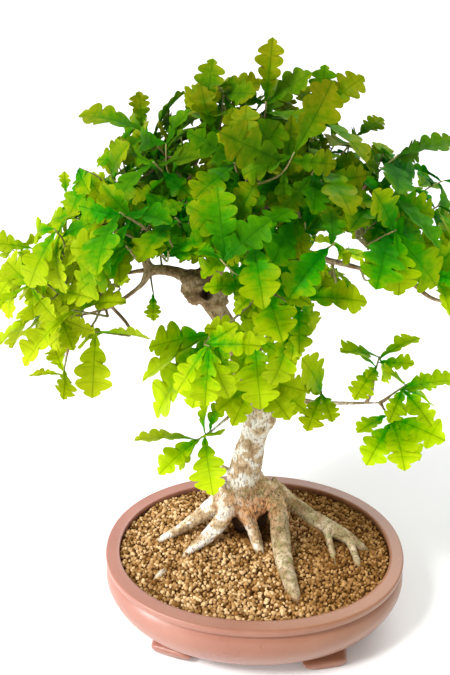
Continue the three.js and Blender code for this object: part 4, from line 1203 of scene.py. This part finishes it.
def free_leaf(shoot, base, number, attempt, random, habit, light):
    """A leaf that turns round its stem by its number, and faces the light or nearly so."""

    def draw():
        return 2 * random() - 1

    stray = np.array([draw(), draw(), draw()]) * (habit.stray + STRAY_STEP * attempt)
    light = unit(light + stray)
    first = unit(shoot["outward"] - light * (shoot["outward"] @ light))
    second = np.cross(light, first)
    turn = number * GOLDEN_ANGLE + habit.turn_stray * draw() + swing(habit.turn, attempt)
    rib = unit(first * math.cos(turn) + second * math.sin(turn) + shoot["lean"] * habit.lean
               - UP * habit.droop)
    side = unit(np.cross(light, rib))
    length = habit.length + habit.spread * draw()
    length *= (1 - habit.inner * (1 - math.cos(turn))) * (1 - habit.shrink * attempt)
    bend = habit.bend[0] + habit.bend[1] * random()
    fold = habit.fold[0] + habit.fold[1] * random()
    return {"base": base - rib * LEAF_SET_BACK, "rib": rib, "side": side, "face": np.cross(rib, side),
            "length": length, "bend": bend, "fold": fold, "shoot": shoot["index"]}


def loose_leaf(shoot, number, attempt, random):
    """A leaf that stands as it comes, as in the solids."""
    back = shoot["length"] * min(0.04 + 0.13 * number, 0.75)
    base = shoot["hub"] - shoot["lean"] * back
    light = UP * 0.75 + shoot["outward"] * 0.5
    return free_leaf(shoot, base, number, attempt, random, SOLID_HABIT, light)


def added_leaf(shoot, base, number, attempt, random):
    """A leaf that isn't in the solids: it faces outwards, and hangs more than those do."""
    steep = rise(base[2], *STEEP_LEAVES)
    outward = unit(base * (1, 1, 0) + shoot["outward"])
    towards = -VIEW_FORWARD * (0.2 + 0.25 * steep)
    light = UP * (0.5 - 0.4 * steep) + outward * 0.6 + towards
    leaf = free_leaf(shoot, base, number, attempt, random, ADDED_HABIT, light)
    return leaf | {"width": 0.8 + 0.2 * random()}


def place_leaves(shoots, branchlets):
    """The leaves of the solids, in the same order and by the same draws."""
    crowd = Crowd()
    for rows in [TRUNK, *BRANCHES, *SPURS, *branchlets]:
        crowd.add_limb(rows)
    for shoot in shoots:
        stem = [[*shoot["root"], SHOOT_RADIUS], [*shoot["hub"], SHOOT_RADIUS]]
        crowd.add_limb(stem, shoot["index"])
    crowd.settle_wood()
    leaves = []
    for shoot in shoots:
        random = random_stream(LEAF_SEED + shoot["index"])
        outlined = len(shoot["tips"])
        mine = []
        for number in range(outlined + shoot["loose"]):
            kind = outline_leaf if number < outlined else loose_leaf
            for attempt in range(LEAF_TRIES):
                leaf = kind(shoot, number, attempt, random)
                trace = leaf_trace(leaf)
                if not crowd.blocks(trace):
                    crowd.take(trace)
                    mine.append(leaf)
                    break
        leaves.append(mine)
    return crowd, leaves


def fill_out(crowd, leaves):
    """Makes each leaf of the solids as full as its neighbours allow."""
    order = [leaf for mine in leaves for leaf in mine]
    for i, leaf in enumerate(order):
        for width in FULL_WIDTHS:
            leaf["width"] = width
            trace = leaf_trace(leaf, BROAD_PATTERN)
            if in_box(trace["points"]) and not crowd.blocks(trace, i):
                break
        crowd.traces[i] = trace


def view_spots(points):
    """Where points show in the photograph's view, in pixels."""
    forward, right = unit(VIEW_FORWARD), unit(VIEW_RIGHT)
    offset = points - VIEWPOINT
    scale = LENS / SENSOR_HEIGHT * VIEW_SIZE[1] / (offset @ forward)
    across = VIEW_SIZE[0] / 2 + offset @ right * scale
    down = VIEW_SIZE[1] / 2 - offset @ np.cross(right, forward) * scale
    return np.column_stack([across, down])


def within(spots, outline):
    """Which spots lie inside a closed outline."""
    start = np.array(outline, float)
    end = np.roll(start, -1, 0)
    x, y = spots[:, :1], spots[:, 1:]
    spans = (start[:, 1] > y) != (end[:, 1] > y)
    climb = np.where(end[:, 1] == start[:, 1], 1, end[:, 1] - start[:, 1])
    crossing = start[:, 0] + (end[:, 0] - start[:, 0]) * (y - start[:, 1]) / climb
    return (spans & (x < crossing)).sum(1) % 2 == 1


def keeps_outline(points):
    """Does a leaf stay inside the crown's outline in the view, and off its openings?"""
    spots = view_spots(points)
    hidden = [within(spots, opening) for opening in VIEW_OPENINGS]
    return bool(within(spots, VIEW_OUTLINE).all() and not np.any(hidden))


def in_box(points):
    """Are the points inside the box of the solids?"""
    low, high = (np.array(corner) / MM for corner in cad_box)
    return bool((points > low + BOX_MARGIN).all() and (points < high - BOX_MARGIN).all())


def grow_leaf(crowd, shoot, base, number, random):
    """Tries one added leaf at a place, and returns it where there is room."""
    for attempt in range(EXTRA_TRIES):
        leaf = added_leaf(shoot, base, number, attempt, random)
        trace = leaf_trace(leaf, BROAD_PATTERN)
        if not in_box(trace["points"]) or not keeps_outline(trace["points"]):
            continue
        if not crowd.blocks(trace):
            crowd.take(trace)
            return [leaf]
    return []


def add_leaves(crowd, shoots, leaves):
    """More leaves on the stems of the solids, spread along them."""
    for shoot in shoots:
        random = random_stream(EXTRA_SEED + shoot["index"])
        wanted = LOW_EXTRA_LEAVES if shoot["index"] >= LOW_SHOOTS else EXTRA_LEAVES
        for number in range(wanted):
            back = shoot["length"] * (0.06 + 0.9 * (number + random()) / wanted)
            base = shoot["hub"] - shoot["lean"] * back
            leaves[shoot["index"]] += grow_leaf(crowd, shoot, base, number + 3, random)


def twig_try(shoots, group, random):
    """Where a twig might end, near one of a group of stems, and how it might lean there."""

    def stray():
        return 2 * np.array([random(), random(), random()]) - 1

    near = shoots[group[int(random() * len(group))]]
    beside = stray() * TWIG_SPREAD
    hub = near["hub"] - near["outward"] * TWIG_DEPTH * random() + beside
    outward = unit((hub - CROWN_MIDDLE) * (1, 1, 0.6))
    return hub, outward, unit(outward * 0.7 + UP * 0.4 + stray() * 0.5)


def twig_fits(crowd, rows):
    """Is a twig short enough, clear of leaves, and inside the outline but for its own root?"""
    length = np.linalg.norm(np.diff(rows[:, :3], axis=0), axis=1).sum()
    longest = LOW_TWIG_LONGEST if rows[-1, 2] < LOW_TWIG_HEIGHT else TWIG_LONGEST
    shown = smooth_rows(rows, 4)[4:, :3]
    return length <= longest and keeps_outline(shown) and not crowd.limb_hits_leaf(rows)


def add_twigs(crowd, shoots, branchlets):
    """Leafy twigs between the stems, on the nearest branch or branchlet."""
    random = random_stream(TWIG_SEED)
    carriers = [np.array(rows, float)[1:] for rows in BRANCHES] + branchlets
    twigs = []
    tries = [group for group, count in TWIG_ROUNDS for _ in range(count)]
    for index, group in enumerate(tries, TWIG_NUMBERS):
        hub, outward, lean = twig_try(shoots, group, random)
        if hub[2] < TWIG_LOWEST:
            continue
        rows = branchlet_to(hub - lean * TWIG_LENGTH, lean, carriers, *TWIG_RADII)
        rows = np.vstack([rows, [*hub, TWIG_RADII[1] * 0.8]])
        if not twig_fits(crowd, rows):
            continue
        twig = {"rows": rows, "lean": lean, "outward": outward, "index": index, "leaves": []}
        for number in range(TWIG_LEAVES):
            base = hub - lean * TWIG_LENGTH * TWIG_LEAF_STEP * number
            twig["leaves"] += grow_leaf(crowd, twig, base, number, random)
        if twig["leaves"]:
            crowd.add_limb(rows, index)
            crowd.settle_wood()
            twigs.append(twig)
    return twigs


def hanging_twig():
    rows = np.array(HANGING_STALK, float)
    twig = {"rows": rows, "hub": rows[-1, :3], "lean": unit(rows[-1, :3] - rows[-2, :3]),
            "tips": [np.array(HANGING_TIP, float)], "rolls": [0], "index": 0}
    leaf = outline_leaf(twig, 0, 0, random_stream(TWIG_SEED))
    twig["leaves"] = [leaf | {"width": 1.0}]
    return twig


# Fine leaves

LEAF_LOBES = (4.5, 5.5, 4.5)
LEAF_DEPTHS = (0.42, 0.46, 0.52)
LOBE_STEPS = (0, 0.12, 0.3, 0.5, 0.7, 0.88)
LEAF_FULLNESS = 0.31
LEAF_NARROWEST = 0.014
VEIN_SWEEP = 0.5
LEAF_COLUMNS = 2
HALF_THICKNESS = 0.17
RIB_DEPTH = 0.35
RIB_RELIEF = 0.45
QUILT_DEPTH = 0.7
MIDRIB, EDGE = 1, 2
SHOOT_LOOK_SEED = 300
TWIG_LOOK_SEED = 700


def leaf_template(lobes, depth):
    """A leaf's points as share along and across, lobes from the base and share of the way to
    the edge, then which lie on the midrib or the edge, and the faces. Its rows run from the
    midrib to the edge of each half, swept forwards as the side veins are."""
    stations = [whole + step for whole in range(int(lobes) + 1) for step in LOBE_STEPS]
    stations = [lobe for lobe in stations if 0 < lobe < lobes]
    points = [(0, 0, 0, 0, EDGE)]
    for lobe in stations:
        q = (lobe / lobes) ** 1.1
        envelope = LEAF_FULLNESS * math.sin(math.pi * q ** 1.5) ** 0.75
        swell = math.sqrt(abs(math.sin(math.pi * lobe)))
        half = max(envelope * (1 - depth * (1 - swell)), LEAF_NARROWEST)
        for j in range(-LEAF_COLUMNS, LEAF_COLUMNS + 1):
            f = abs(j) / LEAF_COLUMNS
            sweep = VEIN_SWEEP * envelope
            along = q * (1 - sweep * f) + sweep * f ** 1.2
            kind = EDGE if abs(j) == LEAF_COLUMNS else MIDRIB if j == 0 else 0
            points.append((along, math.copysign(half * f, j), lobe, f, kind))
    points.append((1, 0, lobes, 0, EDGE))
    width = 2 * LEAF_COLUMNS + 1
    last = (len(stations) - 1) * width + 1
    faces = [
        (start + j, start + j + 1, start + width + j + 1, start + width + j)
        for start in range(1, last, width)
        for j in range(width - 1)
    ]
    for j in range(width - 1):
        faces.append((0, j + 2, j + 1))
        faces.append((len(points) - 1, last + j, last + j + 1))
    return (*np.array(points, float).T, faces)


TEMPLATES = [leaf_template(*shape) for shape in zip(LEAF_LOBES, LEAF_DEPTHS)]


def fine_leaf(leaf, variant, wave, sway):
    """Points, faces, vein places and edge marks of one leaf."""
    along, across, phase, out, kind, faces = TEMPLATES[variant]
    count = len(along)
    uneven = 1 + 0.1 * np.sin(2.1 * phase + sway + np.sign(across))
    across = across * leaf["width"] * uneven
    ripple = wave * out**2 * np.sin(np.pi * phase + sway) * np.sin(np.pi * along)
    quilt = QUILT_DEPTH * np.cos(2 * np.pi * (phase - 0.5)) * np.sin(np.pi * out ** 0.8)
    middle = ripple - quilt * np.sin(np.pi * along) - RIB_DEPTH * (kind == MIDRIB)
    edge = kind == EDGE
    upper = leaf_points(leaf, along, across, middle + HALF_THICKNESS * ~edge)
    lower = leaf_points(leaf, along, across, middle - HALF_THICKNESS - RIB_RELIEF * (kind == MIDRIB))
    inner = np.nonzero(~edge)[0]
    below = np.arange(count)
    below[inner] = count + np.arange(len(inner))
    points = np.vstack([upper, lower[inner]])
    back = [tuple(int(below[i]) for i in face[::-1]) for face in faces]
    vein = np.column_stack([phase, np.abs(across) * leaf["length"], out])
    vein = np.vstack([vein, vein[inner]])
    marks = np.concatenate([edge, np.zeros(len(inner), bool)])
    return points, faces + back, vein, marks


def leaf_tone_and_light(leaf, random):
    """How sunlit, how bronzed and how light a leaf is, by where it stands in the tree. The sunlit
    share and the lightness are painted light and shade.
    """
    x, _, z = leaf_points(leaf, 0.5, 0.0)
    low, high = fall(z, *LOW_LEAVES), rise(z, *HIGH_LEAVES)
    left, right = fall(x, *LEFT_LEAVES), rise(x, *RIGHT_LEAVES)
    open_air = max(low, left)
    # Painted light and shade: more sunlit low down and at the left.
    sunlit = 0.24 + 0.4 * low + 0.28 * left + 0.1 * high
    sunlit += (0.42 - 0.25 * open_air) * (random() - 0.5)
    bronze = 0.5 * high + 0.4 * (random() - 0.45)
    # Painted light and shade: lighter low down and at the left, less light high in the crown.
    light = 0.87 + 0.4 * open_air - 0.14 * left + 0.2 * low * right - 0.12 * high
    light += (0.24 - 0.14 * open_air) * (random() - 0.5)
    return np.clip(sunlit, 0, 1), np.clip(bronze, 0, 0.85), light


def leafy_piece(name, stems, leaves, looks, seed):
    """One piece from green stems, each as rows, and fine leaves. looks holds both materials."""
    random = random_stream(seed)
    parts, veins, tones, marks = [], [], [], []
    for leaf in leaves:
        variant = int(random() * len(TEMPLATES))
        points, faces, vein, mark = fine_leaf(leaf, variant, 0.7 + 1.2 * random(), 6.3 * random())
        parts.append((points, faces))
        veins.append(vein)
        marks.append(mark)
        tones.append(np.tile(leaf_tone_and_light(leaf, random), (len(points), 1)))
    leaf_faces = sum(len(part[1]) for part in parts)
    stem_parts = [tube(smooth_rows(rows, 3), 7) for rows in stems]
    points, faces = gather(parts + stem_parts)
    obj = piece(name, points, faces, "oak_leaf", looks[0])
    mesh = obj.data
    mesh.materials.append(looks[1])
    which = np.arange(len(faces)) >= leaf_faces
    mesh.polygons.foreach_set("material_index", which.astype(np.int32))
    plain = np.zeros((sum(len(part[0]) for part in stem_parts), 3))
    give(mesh, "leaf_vein", np.vstack([*veins, plain]))
    give(mesh, "leaf_tone_and_light", np.vstack([*tones, plain]))
    keep_sharp(mesh, np.concatenate([*marks, plain[:, 0] > 0]))
    return obj


def keep_sharp(mesh, marks):
    """Leaves the edges between marked points sharp under smooth shading."""
    ends = np.empty(len(mesh.edges) * 2, np.int32)
    mesh.edges.foreach_get("vertices", ends)
    sharp = mesh.attributes.new("sharp_edge", "BOOLEAN", "EDGE")
    sharp.data.foreach_set("value", marks[ends].reshape(-1, 2).all(1))


def stem_rows(shoot):
    """The green stem of a shoot, slimmer than in the solids."""
    start = shoot["root"] + shoot["lean"] * SHOOT_GAP
    middle = (shoot["root"] + shoot["hub"]) / 2
    thick, thin = SHOOT_RADIUS * SLENDER, SHOOT_TIP_RADIUS * SLENDER
    return [[*start, thick], [*middle, (thick + thin) / 2], [*shoot["hub"], thin]]


def make_foliage(looks):
    """All stems, twigs and leaves. Gives back the branchlets that carry them."""
    shoots, branchlets = lay_shoots()
    crowd, leaves = place_leaves(shoots, branchlets)
    fill_out(crowd, leaves)
    add_leaves(crowd, shoots, leaves)
    twigs = [*add_twigs(crowd, shoots, branchlets), hanging_twig()]
    for number, (shoot, own) in enumerate(zip(shoots, leaves), 1):
        name = f"oak_shoot_{number:02d}"
        obj = leafy_piece(name, [stem_rows(shoot)], own, looks, SHOOT_LOOK_SEED + number)
        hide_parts(f"leafy_shoot_{number:02d}")
    for group in range(TWIG_GROUPS):
        mine = twigs[group::TWIG_GROUPS]
        own = [leaf for twig in mine for leaf in twig["leaves"]]
        stems = [twig["rows"] for twig in mine]
        leafy_piece(f"inner_twigs_{group + 1}", stems, own, looks, TWIG_LOOK_SEED + group)
    return branchlets


# Wood

WOOD_VOXEL = 1.45
BRANCH_END = 0.5
SWELL_SIZE = np.array([14, 14, 22])
SWELL_DEPTH = 1.15
PLATE_SIZE = np.array([4.5, 4.5, 7])
PLATE_DEPTH = 0.85
KNOB_SPACING = 7.5
BURL_KNOBS = 3.2
CROWN_KNOBS = 2.4


def bark_ripple(angles, row):
    """Unevenness of the trunk's and the roots' rings."""
    return 1 + 0.06 * np.sin(3 * angles + 1.7 * row / 4) + 0.05 * np.sin(2 * angles - 2.3 * row / 4)


def ball(centre, size, seed):
    """An uneven ball."""
    mesh = bmesh.new()
    bmesh.ops.create_icosphere(mesh, subdivisions=3, radius=1)
    points = []
    for vertex in mesh.verts:
        swell = 1.0 + 0.22 * noise.noise(vertex.co * 2.2 + Vector((seed, 0, 0)))
        points.append([c + s * v * swell for c, s, v in zip(centre, size, vertex.co)])
    faces = [tuple(v.index for v in face.verts) for face in mesh.faces]
    mesh.free()
    return np.array(points), faces


def tapered(rows, end):
    """The rows of a limb, thinned towards its end, which keeps this share of its thickness."""
    rows = np.array(rows, float)
    rows[:, 3] *= 1 - (1 - end) * np.linspace(0, 1, len(rows)) ** 2
    return rows


def wood_shapes():
    """The closed shapes that grow together: trunk, roots, branches, dead stubs, knobs, burl."""
    shapes = [tube(smooth_rows(rows, 4), sides, ripple=bark_ripple)
              for rows, sides in [(TRUNK, 24), *((root, 16) for root in ROOTS)]]
    limbs = [tapered(rows, BRANCH_END) for rows in BRANCHES] + SPURS
    shapes += [tube(smooth_rows(rows, 4), 12) for rows in limbs]
    shapes += [ball((x, y, z), (r, r, r * 0.85), i) for i, (x, y, z, r) in enumerate(KNOBS)]
    return [*shapes, ball(BURL, BURL_SIZE, 9)]


def make_wood(branchlets, material):
    """The trunk with its roots and branches in one skin, and the branchlets set on it."""
    wood = loose_object("trunk_and_branches", *gather(wood_shapes()))
    remesh = wood.modifiers.new("one skin", "REMESH")
    remesh.mode = "VOXEL"
    remesh.voxel_size = WOOD_VOXEL * MM
    soften = wood.modifiers.new("grown together", "SMOOTH")
    soften.factor = 0.5
    soften.iterations = 3
    applied(wood)
    hollow = loose_object("hollow", *tube(smooth_rows(BURL_HOLLOW, 3), 20))
    joined_by(wood, [hollow], "DIFFERENCE")
    roughen(wood.data)
    add_to(wood, *gather([tube(smooth_rows(tapered(rows, SLENDER), 5), 9) for rows in branchlets]))
    mesh = wood.data
    mesh.materials.clear()
    mesh.materials.append(material)
    mesh.polygons.foreach_set("material_index", [0] * len(mesh.polygons))
    smooth(mesh)
    zone, patch = bark_zones(mesh_points(mesh))
    give(mesh, "bark_zone", zone)
    give(mesh, "bark_patch", patch)
    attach(wood, "root")
    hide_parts("tree_wood")


def add_to(obj, points, faces):
    """Adds more closed shapes to an object's mesh."""
    mesh = bmesh.new()
    mesh.from_mesh(obj.data)
    made = [mesh.verts.new(Vector(point) * MM) for point in points.tolist()]
    for face in faces:
        mesh.faces.new([made[i] for i in face])
    mesh.to_mesh(obj.data)
    mesh.free()


def knobbly(points):
    """How far into the burl and into the rough crown of the roots each point is, 0 to 1."""
    burl = np.clip(1.55 - np.linalg.norm((points - BURL) / BURL_SIZE, axis=1), 0, 1)
    crown = np.clip(1.5 - np.linalg.norm((points - ROOT_CROWN) / ROOT_CROWN_SIZE, axis=1), 0, 1)
    return burl, crown


def roughen(mesh):
    """Moves each point along its normal by bark relief: swellings, knobs, plates and pits."""
    points = mesh_points(mesh)
    normals = np.empty(len(points) * 3, np.float32)
    mesh.vertices.foreach_get("normal", normals)
    normals = normals.reshape(-1, 3)
    burl, crown = knobbly(points)
    thick = np.clip(distance_to_limbs(points, BRANCHES[1:]) / 3 + 0.35, 0.2, 1)
    thick = np.where(points[:, 2] < 200, 1.0, thick)
    shift = np.empty(len(points))
    for i, point in enumerate(points.astype(float)):
        wave = noise.noise(Vector(point / SWELL_SIZE))
        plate = noise.fractal(Vector(point / PLATE_SIZE), 0.9, 2.1, 3)
        shift[i] = SWELL_DEPTH * wave + PLATE_DEPTH * plate
    shift *= thick * (0.75 + 0.5 * burl + 0.7 * crown)
    for i in np.nonzero((burl > 0) | (crown > 0))[0]:
        near, second = noise.voronoi(Vector(points[i] / KNOB_SPACING))[0][:2]
        knob = 0.75 - near - 0.35 * (second - near < 0.12)
        shift[i] += (burl[i] * BURL_KNOBS + crown[i] * CROWN_KNOBS) * knob
    moved = points + normals * shift[:, None]
    mesh.vertices.foreach_set("co", (moved * MM).astype(np.float32).ravel())
    mesh.update()


def bark_zones(points):
    """How brown and mossy each point is, and its painted shade in the burl's hollow; how white, with
    painted light on the left flank, how red, and its painted shade low between the roots.
    """
    x, y, z = points.T
    burl, crown = knobbly(points)
    right = rise(x, 4, 26) * fall(z, 150, 30)
    ring = np.clip(1 - np.abs(z - RING_HEIGHT) / 13, 0, 1)
    stained = fall(z, STAIN_TO, 6)
    brown = np.maximum.reduce([rise(z, BROWN_FROM, 40, 0.8), 0.3 * crown, burl, 0.5 * right, 0.7 * ring,
                               stained])
    moss = np.clip(0.55 * right + 0.1 * crown + 0.6 * ring, 0, 1) * (1 - 0.7 * stained)
    # Painted shade inside the burl's hollow.
    hollow = distance_to_limbs(points, [BURL_HOLLOW])
    hollow_shade = np.clip(1 - hollow / 1.2, 0, 0.92) * (y > -16)
    low = fall(z, WHITE_TO, 60)
    # Pale bark on the trunk, and painted light on the left flank where the light falls.
    white = np.maximum(fall(x, 14, 24) * (1 - crown) * low, rise(z, 160, 20, 0.8) * low)
    white *= (1 - ring) * (1 - stained)
    shaded = fall(z, SHADE_TO, 14) * rise(distance_to_limbs(points, ROOTS), 1.4, 2.2, 0.95)
    return np.column_stack([brown, moss, hollow_shade]), np.column_stack([white, crown, shaded])


# Stage


def make_stage():
    half = 60.0 / MM
    corners = [(-half, -half, 0), (half, -half, 0), (half, half, 0), (-half, half, 0)]
    floor = loose_object("floor", corners, [(0, 1, 2, 3)])
    floor.data.materials.append(floor_material())
    world = bpy.data.worlds.new("studio")
    world.use_nodes = True
    background = world.node_tree.nodes["Background"]
    background.inputs["Color"].default_value = (1, 1, 1, 1)
    background.inputs["Strength"].default_value = 0.75
    bpy.context.scene.world = world


def add_light(name, kind, place, target=(0, 0, 0), **values):
    """A light that shines from a place to a target. A SUN's light is even, as if from afar."""
    light = bpy.data.lights.new(name, kind)
    for key, value in values.items():
        setattr(light, key, value)
    obj = linked(name, light)
    obj.location = place
    obj.rotation_euler = (Vector(place) - Vector(target)).to_track_quat("Z", "Y").to_euler()


def make_lights():
    """Soft light from the left front and from behind, and a window that shows on the clay."""
    add_light("key", "SUN", (-1.4, -1.0, 2.0), energy=2.7, angle=math.radians(12))
    add_light("back", "SUN", (0.7, 1.6, 1.6), energy=1.3, angle=math.radians(40))
    add_light("window", "AREA", (-1.3, -0.75, 0.42), (0, 0, 0.1), size=0.3, energy=12)


def make_camera():
    """The photograph's view: 450 by 675 pixels, seen from above the rim."""
    camera = bpy.data.cameras.new("camera")
    camera.sensor_fit = "VERTICAL"
    camera.sensor_height = SENSOR_HEIGHT
    camera.lens = LENS
    camera.clip_start = 0.01
    camera.clip_end = 50
    obj = linked("camera", camera)
    forward = Vector(VIEW_FORWARD).normalized()
    right = Vector(VIEW_RIGHT).normalized()
    up = right.cross(forward)
    rotation = Matrix((right, up, -forward)).transposed()
    obj.matrix_world = Matrix.Translation(Vector(VIEWPOINT) * MM) @ rotation.to_4x4()
    bpy.context.scene.camera = obj


def dress_nets(material):
    for side in ("left", "right"):
        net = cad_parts[f"drain_net_{side}"]
        net.data.materials.clear()
        net.data.materials.append(material)


make_camera()
make_stage()
make_lights()
grit = grit_material()
make_pot(clay_material())
make_soil_bed(grit)
make_grains(grit)
dress_nets(net_material())
carrying = make_foliage((leaf_material(), stem_material()))
make_wood(carrying, bark_material())

settings = bpy.context.scene.view_settings
settings.view_transform = "Standard"
settings.look = "None"
